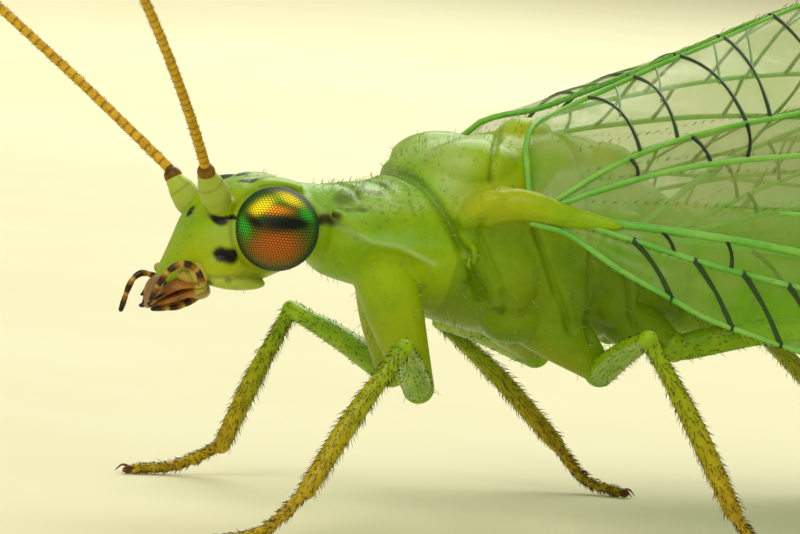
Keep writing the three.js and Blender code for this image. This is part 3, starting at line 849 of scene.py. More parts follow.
        groove(y - (1.42 + (3.2 - z) * 0.62), 0.075, 0.05, (y > 0.9) & (y < 2.4) & (z > 2.1))
        groove(y - (2.98 + (3.7 - z) * 0.12), 0.06, 0.045, z > 1.8)
        groove(segment_distance(points, (2.45, 2.85), (2.98, 1.9)), 0.05, 0.035, flank)
        groove(segment_distance(points, (1.86, 2.9), (2.3, 2.05)), 0.035, 0.03, flank)
        groove(segment_distance(points, (3.42, 2.8), (3.7, 1.95)), 0.045, 0.035, flank)
        groove(y - (2.42 - 0.5 * np.abs(points[:, 0])), 0.05, 0.035, z > 3.25)
        groove(y - 0.86, 0.025, 0.035, (z > 2.9) & (y < 1.3))
        groove(y - 1.17, 0.02, 0.03, (z > 2.95) & (y < 1.4))
        eye = np.linalg.norm(np.abs(points) * [1, 0, 0] + points * [0, 1, 1] - [0.55, 0, 2.7], axis=1)
        groove(eye - 0.42, 0.03, 0.02, y < 0.6)
        groove(segment_distance(points, (-0.66, 2.2), (-0.05, 2.25)), 0.022, 0.018, y < 0.1)
        for k in range(9):
            groove(y - (4.32 + 0.69 * k), 0.05, 0.05, y > 4.15)
        skin.points = points - normal * cut[:, None]
        # Painted shade in the grooves, darker where the cut is deeper.
        skin.mark("shade", np.clip(cut / 0.06, 0, 1) * 0.55)

    def paint(self, skin: Form) -> None:
        """Marks the skin's spots and patches, and painted shade on the lower flanks and the underside."""
        p = skin.points
        draw = np.random.default_rng(5)
        wobble = 0.014 * np.sin(p @ draw.normal(0, 26, (3, 3))).sum(1)
        q = p + wobble[:, None]
        black = np.zeros(len(p))
        for centre, reach in (
            ((0.46, -0.465, 2.44), (0.25, 0.075, 0.075)),
            ((0.46, -0.41, 2.425), (0.25, 0.085, 0.085)),
            ((0.36, -0.535, 2.725), (0.2, 0.075, 0.065)),
            ((0.36, -0.44, 2.76), (0.2, 0.09, 0.035)),
            ((0.0, -0.63, 2.78), (0.06, 0.08, 0.05)),
            ((0.2, -0.12, 3.12), (0.06, 0.13, 0.05)),
        ):
            black = np.maximum(black, spot(q, centre, reach, 13))
        brown = np.zeros(len(p))
        for centre, reach, share in (
            ((0.4, 0.54, 2.79), (0.25, 0.13, 0.055), 1.0),
            ((0.36, 0.76, 3.0), (0.12, 0.1, 0.1), 0.6),
            ((0.42, 0.98, 2.95), (0.1, 0.07, 0.06), 0.5),
            ((0.22, 0.92, 3.1), (0.1, 0.05, 0.08), 0.5),
            ((0.2, 1.22, 3.13), (0.12, 0.12, 0.05), 0.5),
            ((0.45, 0.85, 2.9), (0.1, 0.16, 0.03), 0.55),
            ((0.36, 0.95, 3.04), (0.1, 0.2, 0.028), 0.6),
            ((0.48, 1.22, 2.87), (0.1, 0.12, 0.022), 0.4),
            ((0.5, 1.5, 2.2), (0.2, 0.05, 0.06), 0.35),
            ((0.78, 1.9, 2.3), (0.2, 0.04, 0.06), 0.4),
            ((0.35, -0.56, 2.15), (0.15, 0.04, 0.06), 0.9),
            ((0.4, -0.4, 2.19), (0.15, 0.03, 0.03), 0.5),
            ((0.35, 1.75, 3.5), (0.05, 0.12, 0.1), 0.3),
            ((0.5, 1.2, 1.62), (0.1, 0.06, 0.1), 0.12),
        ):
            brown = np.maximum(brown, share * spot(q, centre, reach, 7))
        specks = (np.sin(p[:, 0] * 61) * np.sin(p[:, 1] * 53) * np.sin(p[:, 2] * 59)) > 0.42
        dorsum = (p[:, 1] > 0.62) & (p[:, 1] < 1.45) & (p[:, 2] > 2.86)
        brown = np.maximum(brown, 0.32 * (specks & dorsum))
        pale = np.zeros(len(p))
        for centre, reach, share in (
            ((0.4, 1.08, 2.98), (0.22, 0.22, 0.08), 0.8),
            ((0.5, -0.5, 2.62), (0.2, 0.2, 0.1), 0.3),
            ((0.0, 2.0, 3.6), (0.14, 0.9, 0.3), 0.35),
            ((0.35, -0.3, 2.17), (0.3, 0.35, 0.09), 0.35),
            ((0.4, 1.7, 3.35), (0.5, 0.16, 0.3), 0.55),
        ):
            pale = np.maximum(pale, share * spot(q, centre, reach, 4))
        fold = ((0.46, 2.95), (0.65, 2.75), (0.94, 2.63), (1.22, 2.6), (1.57, 2.45))
        away = np.min([segment_distance(p, a, b) for a, b in zip(fold, fold[1:])], axis=0)
        pale = np.maximum(pale, 0.8 * np.exp(-((away / 0.022) ** 2)) * (np.abs(p[:, 0]) > 0.3))
        teal = np.zeros(len(p))
        for centre, reach, share in (
            ((0.3, 0.75, 3.0), (0.5, 0.3, 0.22), 0.55),
            ((0.3, 1.3, 3.1), (0.5, 0.4, 0.16), 0.5),
            ((0.2, 1.75, 3.5), (0.5, 0.3, 0.22), 0.5),
            ((0.6, 1.1, 2.66), (0.14, 0.5, 0.07), 0.6),
            ((0.15, -0.2, 3.1), (0.3, 0.4, 0.1), 0.2),
        ):
            teal = np.maximum(teal, share * spot(q, centre, reach, 4))
        yellow = np.zeros(len(p))
        for centre, reach, share in (
            ((0.3, 2.72, 3.6), (0.4, 0.3, 0.3), 0.8),
            ((0.3, 3.4, 3.5), (0.4, 0.3, 0.3), 0.8),
            ((0.95, 2.1, 3.08), (0.3, 0.55, 0.2), 0.85),
            ((0.7, 2.1, 3.2), (0.3, 0.4, 0.25), 0.4),
            ((0.3, -0.45, 2.95), (0.5, 0.2, 0.2), 0.4),
            ((0.4, -0.4, 2.3), (0.5, 0.5, 0.28), 0.7),
            ((0.5, 1.4, 1.7), (0.4, 0.5, 0.5), 0.4),
            ((0.4, 1.75, 3.4), (0.3, 0.2, 0.2), 0.5),
            ((0.6, 3.1, 1.5), (0.3, 0.5, 0.2), 0.35),
        ):
            yellow = np.maximum(yellow, share * spot(q, centre, reach, 4))
        stripe = np.exp(-((p[:, 0] / 0.22) ** 2)) * (p[:, 1] > 4) * (p[:, 2] > 2.4) * 0.8
        # Painted shade: darker on the lower flanks of the thorax and towards the underside, away from the
        # light above.
        low = 1 / (1 + np.exp(-9 * (2.62 - p[:, 2] - 0.1 * np.sin(p[:, 1] * 5))))
        flank = low * (p[:, 1] > 1.75) * (p[:, 1] < 4.3) * 0.55
        flank = np.maximum(flank, 0.42 / (1 + np.exp(9 * (p[:, 2] - 1.95))) * (p[:, 1] > 0.7))
        skin.mark("black", black).mark("brown", brown).mark("pale", pale).mark("teal", teal)
        skin.mark("yellow", np.maximum(yellow, stripe))
        skin.mark("shade", np.maximum(skin.marks["shade"], flank))

    def hairs(self, skin: Form, coat: Hairs) -> None:
        """Grows short pale hairs on head, back and flanks."""
        draw = np.random.default_rng(coat.seed)
        p, normal = skin.points, outward(skin)
        eye = np.linalg.norm(np.abs(p) * [1, 0, 0] + p * [0, 1, 1] - [0.55, 0, 2.7], axis=1)
        back = (p[:, 1] < 1.6) & (p[:, 2] > 2.8)
        density = np.where(p[:, 1] < 0.6, 0.004, np.where(back, 0.03, 0.008)) * (eye > 0.47)
        density = np.where(p[:, 1] > 4.2, 0.008, density)
        chosen = np.flatnonzero(draw.random(len(p)) < density)
        lean = np.array([0, 0.45, -0.1])
        ways = normal[chosen] + lean + draw.normal(0, 0.15, (len(chosen), 3))
        turn = np.arctan2(p[chosen, 2] - 2.6, p[chosen, 0]) / (2 * math.pi) + 0.5
        places = np.stack([(p[chosen, 1] + 1) / 12, turn], 1)
        size = np.where(p[chosen, 1] < 0.6, 0.05, 0.075) * draw.uniform(0.6, 1.3, len(chosen))
        coat.grow(p[chosen], ways, size, places)

    def build(self, finishes: Finishes, coat: Hairs) -> None:
        """Fuses, carves, paints and dresses the skin."""
        neck = tube(smooth_path([(0, 0.3, 2.74), (0, 0.56, 2.73), (0, 0.8, 2.72)], 12), [0.36] * 12, 40)
        scutellum = egg((0, 2.72, 3.6), (0.3, 0.3, 0.22))
        forms = [trunk(self.head, 2.2), trunk(self.thorax, 2.25), trunk(self.abdomen, 2.1), neck, scutellum]
        for side in SIDES.values():
            forms += self.lumps(side)
        skin = one_skin(forms, self.voxel, 8)
        self.carve(skin)
        self.paint(skin)
        self.hairs(skin, coat)
        nodes = ["head", "prothorax", "mesothorax", "metathorax", "abdomen_front", "abdomen_middle",
            "abdomen_rear"]
        nodes += [f"coxa_{leg}_{side}" for leg in ("fore", "middle", "hind") for side in SIDES]
        add_piece("body_skin", skin, finishes.skin, nodes)


@dataclass
class CompoundEyes:
    """The two domed eyes, each lens a small bump."""

    side_place: float = 0.55
    level: float = 2.7
    radius: float = 0.386
    bulge: float = 0.005
    detail: int = 5

    def lenses(self, side: float) -> Form:
        """One eye's lenses, marked for their colours."""
        bpy.ops.mesh.primitive_ico_sphere_add(subdivisions=self.detail, radius=1.0)
        ball = bpy.context.object
        way = np.array([v.co[:] for v in ball.data.vertices])
        tris = np.array([f.vertices[:] for f in ball.data.polygons])
        bpy.data.objects.remove(ball)
        keep = (way[tris][:, :, 0] * side > -0.35).all(1)
        tris = tris[keep]
        middle = way[tris].mean(1)
        middle /= np.linalg.norm(middle, axis=1, keepdims=True)
        edges: dict[tuple[int, int], list[int]] = {}
        for t, (a, b, c) in enumerate(tris):
            for pair in ((a, b), (b, c), (c, a)):
                edges.setdefault((min(pair), max(pair)), []).append(t)
        used = np.unique(tris)
        index = -np.ones(len(way), int)
        index[used] = np.arange(len(used))
        faces = []
        directions, lens = [*way[used], *middle], [1.0] * len(used) + [0.0] * len(middle)
        rings: dict[tuple[int, int], int] = {}

        def inner(corner: int, triangle: int) -> int:
            """The point part of the way from a lens's middle to one of its corners."""
            key = (corner, triangle)
            if key not in rings:
                place = way[corner] * 0.4 + middle[triangle] * 0.6
                rings[key] = len(directions)
                directions.append(place / np.linalg.norm(place))
                lens.append(0.72)
            return rings[key]

        for (a, b), sharing in edges.items():
            if len(sharing) != 2:
                continue
            for corner in (a, b):
                first, second = sharing
                turned = np.cross(middle[first] - way[corner], middle[second] - way[corner]) @ way[corner]
                if turned < 0:
                    first, second = second, first
                near, far = inner(corner, first), inner(corner, second)
                faces.append((int(index[corner]), near, far))
                faces.append((near, len(used) + first, len(used) + second, far))
        directions, lens = np.array(directions), np.array(lens)
        points = directions * (self.radius + self.bulge * lens)[:, None]
        form = Form(points + mirrored((self.side_place, 0, self.level), side), faces)
        return self.colour(form, directions * [side, 1, 1]).mark("lens", lens)

    def colour(self, form: Form, way: np.ndarray) -> Form:
        """Marks an eye's painted reflections by the direction of each lens, as seen a little from the front:
        gold highlights, orange and copper reflected bands, a dark reflected band, green sheen at the sides
        and a painted dark edge.
        """
        right = way @ np.array([0.414, 0.906, 0.087])
        up = way @ np.array([-0.116, -0.042, 0.992])
        out = np.clip(np.hypot(right, up), 0, 1)

        def arc(x: float, y: float, wide: float, high: float, tilt: float = 0.0) -> np.ndarray:
            """A soft streak about a place on the eye."""
            c, s = math.cos(tilt), math.sin(tilt)
            a, b = (right - x) * c + (up - y) * s, -(right - x) * s + (up - y) * c
            return np.exp(-(((a / wide) ** 2 + (b / high) ** 2) ** 1.5))

        # Painted reflections and sheen; rim darkens the outline as painted shade.
        parts = {
            "copper": arc(0.0, -0.4, 0.62, 0.44),
            "lime": arc(-0.74, 0.08, 0.14, 0.3, 0.2) + arc(0.74, 0.3, 0.14, 0.3, 0.5) + 0.7 * arc(0.0, 0.68,
                0.4, 0.1),
            "orange": arc(-0.04, 0.43, 0.4, 0.13, -0.1),
            "gold": arc(-0.34, 0.52, 0.34, 0.16, 0.55) + 0.9 * arc(0.33, 0.7, 0.32, 0.12, -0.45),
            "dark": arc(0.1, 0.12, 0.52, 0.23) + 0.8 * arc(-0.58, 0.22, 0.3, 0.12, -0.7) + 0.7 * arc(0.6,
                0.1, 0.34, 0.12),
            "rim": np.clip((out - 0.85) / 0.13, 0, 1) * 0.95,
        }
        for name, values in parts.items():
            form.mark(name, np.clip(values, 0, 1))
        return form

    def build(self, finishes: Finishes) -> None:
        """Makes both eyes."""
        for name, side in SIDES.items():
            add_piece(f"compound_eye_{name}", self.lenses(side), finishes.eye, [f"eye_{name}"])


@dataclass
class Mouth:
    """Labrum, jaws, maxillae, labium and the four palps."""

    maxillary: dict[str, Rows] = field(
        default_factory=lambda: {
            "left": ((0.34, -0.6, 2.14), (0.36, -0.68, 2.27), (0.35, -0.8, 2.32), (0.32, -0.92, 2.26),
                (0.27, -1.0, 2.12), (0.2, -1.04, 1.97)),
            "right": ((0.24, -0.56, 2.06), (0.3, -0.72, 2.1), (0.33, -0.92, 2.15), (0.34, -1.02, 2.07),
                (0.35, -1.1, 1.8)),
        }
    )
    labial: Rows = ((0.1, -0.55, 1.98), (0.14, -0.74, 1.9), (0.14, -0.99, 1.87))

    jaws: Sequence[tuple[Rows, Rows, float, float]] = (
        (((0.22, -0.62, 2.18), (0.21, -0.84, 2.09), (0.06, -1.0, 1.91)), ((0, 0.09), (0.5, 0.08), (1, 0.02)),
            0.6, 0.8),
        (((0.2, -0.58, 2.08), (0.19, -0.8, 1.99), (0.08, -0.99, 1.89)), ((0, 0.08), (0.6, 0.065), (1, 0.02)),
            0.5, 0.8),
        (((0.26, -0.6, 2.12), (0.26, -0.8, 2.1), (0.16, -0.98, 1.97)), ((0, 0.05), (0.6, 0.05), (1, 0.02)),
            0.6, 0.7),
    )
    tongue: tuple[Rows, Rows, float, float] = (
        ((0, -0.5, 2.02), (0, -0.74, 1.93), (0, -0.97, 1.89)), ((0, 0.1), (0.6, 0.08), (1, 0.04)), 0.6, 0.85
    )

    def palp(self, points: Rows, side: float, joints: int, thick: float) -> Form:
        """A jointed palp, black at each joint's end."""
        count = joints * 14
        path = smooth_path([mirrored(p, side) for p in points], count)
        way = np.linspace(0, joints, count, endpoint=False)
        phase = way - np.floor(way)
        swell = 0.72 + 0.28 * np.sin(math.pi * np.clip(phase, 0.05, 0.95)) ** 0.6
        form = tube(path, thick * swell * (1 - 0.3 * way / joints), 16)
        place = form.marks["way"] * joints
        inside = place - np.floor(place)
        tip = np.clip((form.marks["way"] - 0.8) * 6, 0, 1)
        form.mark("black", np.maximum(np.clip((inside - 0.35) * 5, 0, 0.9) * (inside < 0.93), tip))
        return form.mark("pale", (inside < 0.2) * 0.6)

    def blade(self, side: float, points: Rows, radii: Rows, flat: float, tip: float) -> Form:
        """A flattened curved jaw, black from tip onwards."""
        path = smooth_path([mirrored(p, side) for p in points], 26)
        form = tube(path, along(radii, np.linspace(0, 1, 26)), 20, flat)
        return form.mark("black", np.clip((form.marks["way"] - tip) * 8, 0, 1)).mark("pale",
            form.marks["way"] < 0.15)

    def build(self, finishes: Finishes) -> None:
        """Makes the mouthparts."""
        core = [egg((0, -0.62, 2.08), (0.22, 0.24, 0.12), -0.2).mark("pale", 0.5)]
        core.append(egg((0, -0.78, 2.05), (0.16, 0.14, 0.12)).mark("pale", 0.2))
        for side in SIDES.values():
            for points, radii, flat, tip in self.jaws:
                core.append(self.blade(side, points, radii, flat, tip))
            core.append(egg(mirrored((0.29, -0.62, 2.24), side), (0.09, 0.13, 0.1), -0.3).mark("pale", 0.9))
            core.append(egg(mirrored((0.27, -0.74, 2.2), side), (0.07, 0.1, 0.06), -0.3).mark("pale", 0.7))
        core.append(self.blade(1.0, *self.tongue))
        add_piece("jaws_and_labium", joined(core), finishes.amber, ["mouth_cone"])
        plate = egg((0, -0.935, 2.02), (0.17, 0.045, 0.17), -0.36, 48)
        add_piece("labrum_plate", plate, finishes.labrum, ["labrum"])
        for name, side in SIDES.items():
            upper = self.palp(self.maxillary[name], side, 5, 0.038)
            add_piece(f"maxillary_palp_skin_{name}", upper, finishes.amber,
                [f"maxillary_palp_{name}"])
            lower = self.palp(self.labial, side, 3, 0.034)
            add_piece(f"labial_palp_skin_{name}", lower, finishes.amber, [f"labial_palp_{name}"])


@dataclass
class Antennae:
    """Scape, pedicel and ringed flagellum of both feelers."""

    scape: Rows = ((0.34, -0.51, 2.9), (0.37, -0.58, 3.0), (0.42, -0.68, 3.13))
    top: Sequence[float] = (0.47, -0.73, 3.24)
    length: float = 10.5
    aim: Sequence[float] = (0.66, -0.49, 0.57)
    bend: Sequence[float] = (-0.5, -1.5, -0.5)
    shift: dict[str, Sequence[float]] = field(default_factory=lambda: {"left": (0, 0, 0),
        "right": (-0.05, 0.03, -0.12)})
    rings: int = 104

    def build(self, finishes: Finishes, coat: Hairs) -> None:
        """Makes both feelers with their bristles."""
        for i, (name, side) in enumerate(SIDES.items()):
            move = np.asarray(self.shift[name])
            path = smooth_path([mirrored(np.add(p, move), side) for p in self.scape], 24)
            radius = along([[0, 0.125], [0.3, 0.14], [0.8, 0.115], [1, 0.09]], np.linspace(0, 1, 24))
            base = tube(path, radius, 32).mark("pale", 0.3).mark("yellow", 0.55)
            base.mark("brown", 0.5 * np.exp(-(((base.marks["way"] - 0.72) / 0.025) ** 2)))
            add_piece(f"scape_{name}", base, finishes.skin, [f"antenna_base_{name}"])
            short = smooth_path([mirrored(np.add(p, move), side) for p in (self.scape[-1], self.top)], 14)
            swell = along([[0, 0.07], [0.45, 0.085], [0.85, 0.07], [1, 0.05]], np.linspace(0, 1, 14))
            add_piece(f"pedicel_{name}", tube(short, swell, 28), finishes.pedicel)
            t = np.linspace(0, 1, self.rings * 6)
            line = np.asarray(self.top) + move + np.outer(t * self.length, self.aim) + np.outer(t**2,
                self.bend)
            line[:, 0] *= side
            phase = t * self.rings % 1
            thick = along([[0, 0.05], [0.04, 0.048], [0.5, 0.04], [1, 0.026]], t)
            form = tube(line, thick * (0.9 + 0.1 * np.sin(math.pi * phase) ** 0.5), 14)
            ring = form.marks["way"] * self.rings % 1
            form.mark("joint", np.clip(np.abs(ring - 0.5) * 2 - 0.62, 0, 1) * 2.2)
            add_piece(f"flagellum_{name}", form, finishes.feeler,
                [f"flagellum_near_{name}", f"flagellum_far_{name}"])
            coat.on_tube(form, 0.3, 0.036, 0.62, (0.5 * i, 0.5 * i + 0.45))


@dataclass
class Legs:
    """The six legs below their coxae."""

    places: dict[str, dict[str, Sequence[float]]] = field(
        default_factory=lambda: {
            "fore_left": {"hip": (0.62, 1.54, 1.27), "knee": (1.95, 0.73, 1.8), "ankle": (2.15, -0.2, 0.5),
                "toe": (2.2, -0.97)},
            "fore_right": {"hip": (-0.62, 1.54 + FAR_COXA_BACK, 1.27), "knee": (-2.15, 1.42, 1.68),
                "ankle": (-2.42, 0.93, 0.3), "toe": (-2.4, 0.02)},
            "middle_left": {"hip": (0.7, 3.36, 1.5), "knee": (2.5, 2.92, 2.03), "ankle": (2.52, 3.95, 0.46),
                "toe": (2.25, 4.68)},
            "middle_right": {"hip": (-0.7, 3.36, 1.5), "knee": (-2.4, 3.15, 1.6),
                "ankle": (-2.2, 4.42, 0.46), "toe": (-1.8, 4.95)},
            "hind_left": {"hip": (0.68, 4.12, 1.76), "knee": (1.36, 5.6, 2.15), "ankle": (2.5, 8.4, 0.42),
                "toe": (2.75, 9.35)},
            "hind_right": {"hip": (-0.68, 4.12, 1.76), "knee": (-1.36, 5.6, 2.15),
                "ankle": (-2.7, 8.25, 0.42), "toe": (-3.05, 9.15)},
        }
    )
    foot_level: float = 0.05

    def segment(self, start: Any, end: Any, rows: Rows, sag: float, count: int = 40) -> Form:
        """One limb segment with its radius read from rows, bowed upwards by sag."""
        a, b = np.asarray(start, float), np.asarray(end, float)
        path = smooth_path([a, (a + b) / 2 + [0, 0, sag], b], count)
        return tube(path, along(rows, np.linspace(0, 1, count)), 20)

    def foot(self, ankle: np.ndarray, toe: np.ndarray) -> Form:
        """Five tarsal joints that run down to the floor."""
        middle = (ankle + toe) / 2
        middle[2] = self.foot_level + (middle[2] - self.foot_level) * 0.4
        path = smooth_path([ankle, middle, toe], 90)
        share = np.array([0, 0.36, 0.56, 0.7, 0.8, 1.0])
        t = np.linspace(0, 1, 90)
        part = np.clip(np.searchsorted(share, t, side="right") - 1, 0, 4)
        phase = (t - share[part]) / (share[part + 1] - share[part])
        return tube(path, (0.062 - 0.014 * t) * (0.74 + 0.26 * phase**0.7), 18)

    def claws(self, toe: np.ndarray, way: np.ndarray) -> list[Form]:
        """Two hooked claws and the pad between them."""
        across = np.cross(way, [0, 0, 1])
        across /= np.linalg.norm(across)
        forms = [egg(toe + way * 0.06 - [0, 0, 0.012], (0.045, 0.05, 0.034))]
        for turn in (-1, 1):
            hook = [toe + across * turn * 0.02, toe + way * 0.09 + across * turn * 0.06 + [0, 0, 0.03],
                toe + way * 0.15 + across * turn * 0.08 - [0, 0, 0.025]]
            forms.append(tube(smooth_path(hook, 12), np.linspace(0.02, 0.004, 12), 10))
        return forms

    def build(self, finishes: Finishes, coat: Hairs) -> None:
        """Makes each leg with its bristles and claws."""
        horns = []
        for i, (name, joint) in enumerate(self.places.items()):
            hip, knee, ankle = (np.array(joint[part]) for part in ("hip", "knee", "ankle"))
            toe = np.array([*joint["toe"], self.foot_level])
            femur = self.segment(hip, knee, ((0, 0.12), (0.12, 0.13), (0.5, 0.115), (0.9, 0.085), (1, 0.09)),
                0.03)
            tibia = self.segment(knee, ankle, ((0, 0.082), (0.12, 0.072), (0.5, 0.092), (0.85, 0.086),
                (1, 0.08)), 0.05)
            femur.mark("gold", 0.0)
            tibia.mark("gold", np.clip(tibia.marks["way"] * 0.9 + 0.05, 0, 0.85))
            foot = self.foot(ankle, toe).mark("gold", 0.95)
            hip_lobe = egg(hip + [0, 0, 0.02], (0.15, 0.15, 0.15)).mark("gold", 0)
            nodes = [f"{part}_{name}" for part in ("femur", "tibia", "tarsus")]
            add_piece(f"leg_{name}", joined([hip_lobe, femur, tibia, foot]), finishes.limb, nodes)
            strips = [(i / 6 + k / 18, i / 6 + k / 18 + 0.05) for k in range(3)]
            coat.on_tube(femur, 0.3, 0.055, 0.62, strips[0])
            coat.on_tube(tibia, 0.6, 0.075, 0.6, strips[1])
            coat.on_tube(foot, 0.3, 0.055, 0.6, strips[2])
            way = (toe - ankle) * [1, 1, 0]
            horns += self.claws(toe, way / np.linalg.norm(way))
        feet = joined(horns)
        feet.points[:, 2] = np.maximum(feet.points[:, 2], 0.002)
        add_piece("claws_and_pads", feet, finishes.claw)


@dataclass
class WingShape:
    """One wing's surface and veins, by the distance run along its radial vein and the chord across it."""

    name: str
    length: float
    x: Rows
    y: Rows
    z: Rows
    lean: Rows
    curl: Rows
    front: Rows
    back: Rows
    main: dict[str, tuple[float, float, float, float]]
    costal_step: float
    cross_step: float
    seed: int

    def point(self, run: Any, chord: Any, side: float, lift: Any = 0.0) -> np.ndarray:
        """Places of the surface.

        Args:
            run: Distance from the root.
            chord: Distance across, below the radial vein if negative.
            side: 1 for the left wing and -1 for the right.
            lift: Height above the surface, outwards.

        Returns:
            Points in millimetres.
        """
        run, chord, lift = np.broadcast_arrays(np.asarray(run, float), chord, lift)
        half = np.radians(along(self.curl, run)) * np.clip(chord / along(self.back, run), 0, 1) / 2
        reach = chord * np.sinc(half / math.pi)
        lean = np.radians(along(self.lean, run)) - half
        x = along(self.x, run) - reach * np.cos(lean) + lift * np.sin(lean - half)
        z = along(self.z, run) + reach * np.sin(lean) + lift * np.cos(lean - half)
        return np.stack([side * x, along(self.y, run), z], -1)

    def chord(self, share: Any, run: Any) -> np.ndarray:
        """The chord at a share of the wing's width, from -1 at the front margin to 1 at the hind one."""
        share = np.asarray(share, float)
        return np.where(share < 0, share * along(self.front, run), share * along(self.back, run))

    def line(self, run: Any, first: float, last: float) -> np.ndarray:
        """A long vein's share of the width; all long veins meet at the wing's root."""
        run = np.asarray(run, float)
        return (first + (last - first) * run / self.length) * (1 - np.exp(-(run + 0.04) / 0.7))

    def film(self, side: float) -> Form:
        """The thin membrane, both faces of it."""
        rows, columns = 130, 46
        run = self.length * np.sin(np.linspace(0, 1, rows) * math.pi / 2) ** 0.9
        share = np.concatenate([np.linspace(-1, 0, 12, endpoint=False), np.linspace(0, 1, columns - 12)])
        grid_run, grid_share = np.meshgrid(run, share, indexing="ij")
        chord = self.chord(grid_share, grid_run)
        ripple = 0.012 * np.sin(grid_share * 21) * np.sin(grid_run * 3.1)
        faces_of = []
        for lift in (0.004, -0.004):
            faces_of.append(self.point(grid_run, chord, side, ripple + lift).reshape(-1, 3))
        count = rows * columns
        quads = [
            (r * columns + c, r * columns + c + 1, (r + 1) * columns + c + 1, (r + 1) * columns + c)
            for r in range(rows - 1)
            for c in range(columns - 1)
        ]
        outer = quads if side < 0 else [tuple(reversed(q)) for q in quads]
        inner = [tuple(reversed([i + count for i in q])) for q in outer]
        return Form(np.concatenate(faces_of), outer + inner)

    def vein(self, run: np.ndarray, share: np.ndarray, side: float, thick: Any, black: Any) -> Form:
        """A vein along places given by run and share of the width."""
        path = self.point(run, self.chord(share, run), side, 0.004)
        return tube(path, thick, 7).mark("black", black)

    def veins(self, side: float) -> list[Form]:
        """The whole net: long veins, then the cross veins between them."""
        draw = np.random.default_rng(self.seed)
        forms = []
        span = np.linspace(0, self.length * 0.998, 150)
        for share, root, tip in ((-1.0, 0.03, 0.015), (1.0, 0.032, 0.008)):
            taper = tip + (root - tip) * np.exp(-span / 4)
            forms.append(self.vein(span, np.full(150, share), side, taper, 0.0))
        lines = {}
        for name, (start, from_share, to_share, thick) in self.main.items():
            run = np.linspace(start, self.length * 0.985, 120)
            t = run / self.length
            share = self.line(run, from_share, to_share)
            forms.append(self.vein(run, share, side, thick * (1 - 0.55 * t), 0.0))
            lines[name] = (start, from_share, to_share)

        def share_at(name: str, run: float) -> float:
            """A long vein's share of the width at a run."""
            if name == "front":
                return -1.0
            if name == "hind":
                return 1.0
            _, a, b = lines[name]
            return float(self.line(run, a, b))

        order = ["hind"] + sorted(lines, key=lambda key: -lines[key][1]) + ["front"]
        for upper, lower in zip(order, order[1:]):
            edge = "front" in (upper, lower) or "hind" in (upper, lower)
            step = self.costal_step if edge else self.cross_step
            start = max(0.75, *(lines[key][0] + 0.35 for key in (upper, lower) if key in lines))
            run = start + step * draw.uniform(0.2, 0.6)
            while run < self.length * 0.965:
                slant = 0.3 if lower == "front" else draw.uniform(-0.12, 0.12)
                a, b = share_at(upper, run), share_at(lower, min(run + slant, self.length * 0.99))
                t = np.linspace(0, 1, 9)
                runs = np.clip(run + slant * t + 0.03 * np.sin(math.pi * t), 0, self.length * 0.99)
                dark = np.clip(1.25 * np.abs(np.linspace(-1, 1, 17))[4:13].max() - 0.1, 0, 1) if edge else 1.0
                shares = a + (b - a) * t
                thick = np.array([1.35, 1.1, 1, 0.9, 0.9, 0.9, 1, 1.1,
                    1.2]) * (0.024 if lower == "front" else 0.018)
                forms.append(self.vein(runs, shares, side, thick, max(dark, 0.93) if run < 9 else 0.75))
                if upper == "hind":
                    split = a + (b - a) * 0.55
                    fork_run = np.clip(run + slant * 0.55 + np.linspace(0, 0.28, 7), 0, self.length * 0.99)
                    forms.append(self.vein(fork_run, np.linspace(split, 1.0, 7), side, 0.012, 0.5))
                run += step * draw.uniform(0.85, 1.15)
        return forms

    def fringe(self, side: float, coat: Hairs, strip: tuple[float, float]) -> None:
        """Hairs along the margins and the long veins."""
        draw = np.random.default_rng(self.seed + 7)
        lines = [(-1.0, -1.0, 0.055, 0.13, -1.0), (1.0, 1.0, 0.07, 0.1, 1.0)]
        lines += [(a, b, 0.09, 0.06, 0.0) for _, a, b, _ in self.main.values()]
        for first, last, step, size, out in lines:
            run = np.arange(0.5, self.length * 0.99, step)
            share = first + (last - first) * run / self.length
            root = self.point(run, self.chord(share, run), side, 0.012)
            beyond = self.point(run, self.chord(share, run) + 0.1 * (out or 0.3), side,
                0.05 if out == 0 else 0.02)
            ways = (beyond - root) / 0.1 + [0, 0.45, 0] + draw.normal(0, 0.15, root.shape)
            places = np.stack([run / self.length, strip[0] + (share * 0.5 + 0.5) * (strip[1] - strip[0])], 1)
            coat.grow(root, ways, size * draw.uniform(0.7, 1.2, len(run)), places)

    def build(self, finishes: Finishes, coat: Hairs) -> None:
        """Makes the left and the right wing."""
        for i, (name, side) in enumerate(SIDES.items()):
            node = f"{self.name}_{name}"
            add_piece(f"{node}_film", self.film(side), finishes.membrane, [node])
            add_piece(f"{node}_veins", joined(self.veins(side)), finishes.vein)
            self.fringe(side, coat, (0.5 * i, 0.5 * i + 0.45))


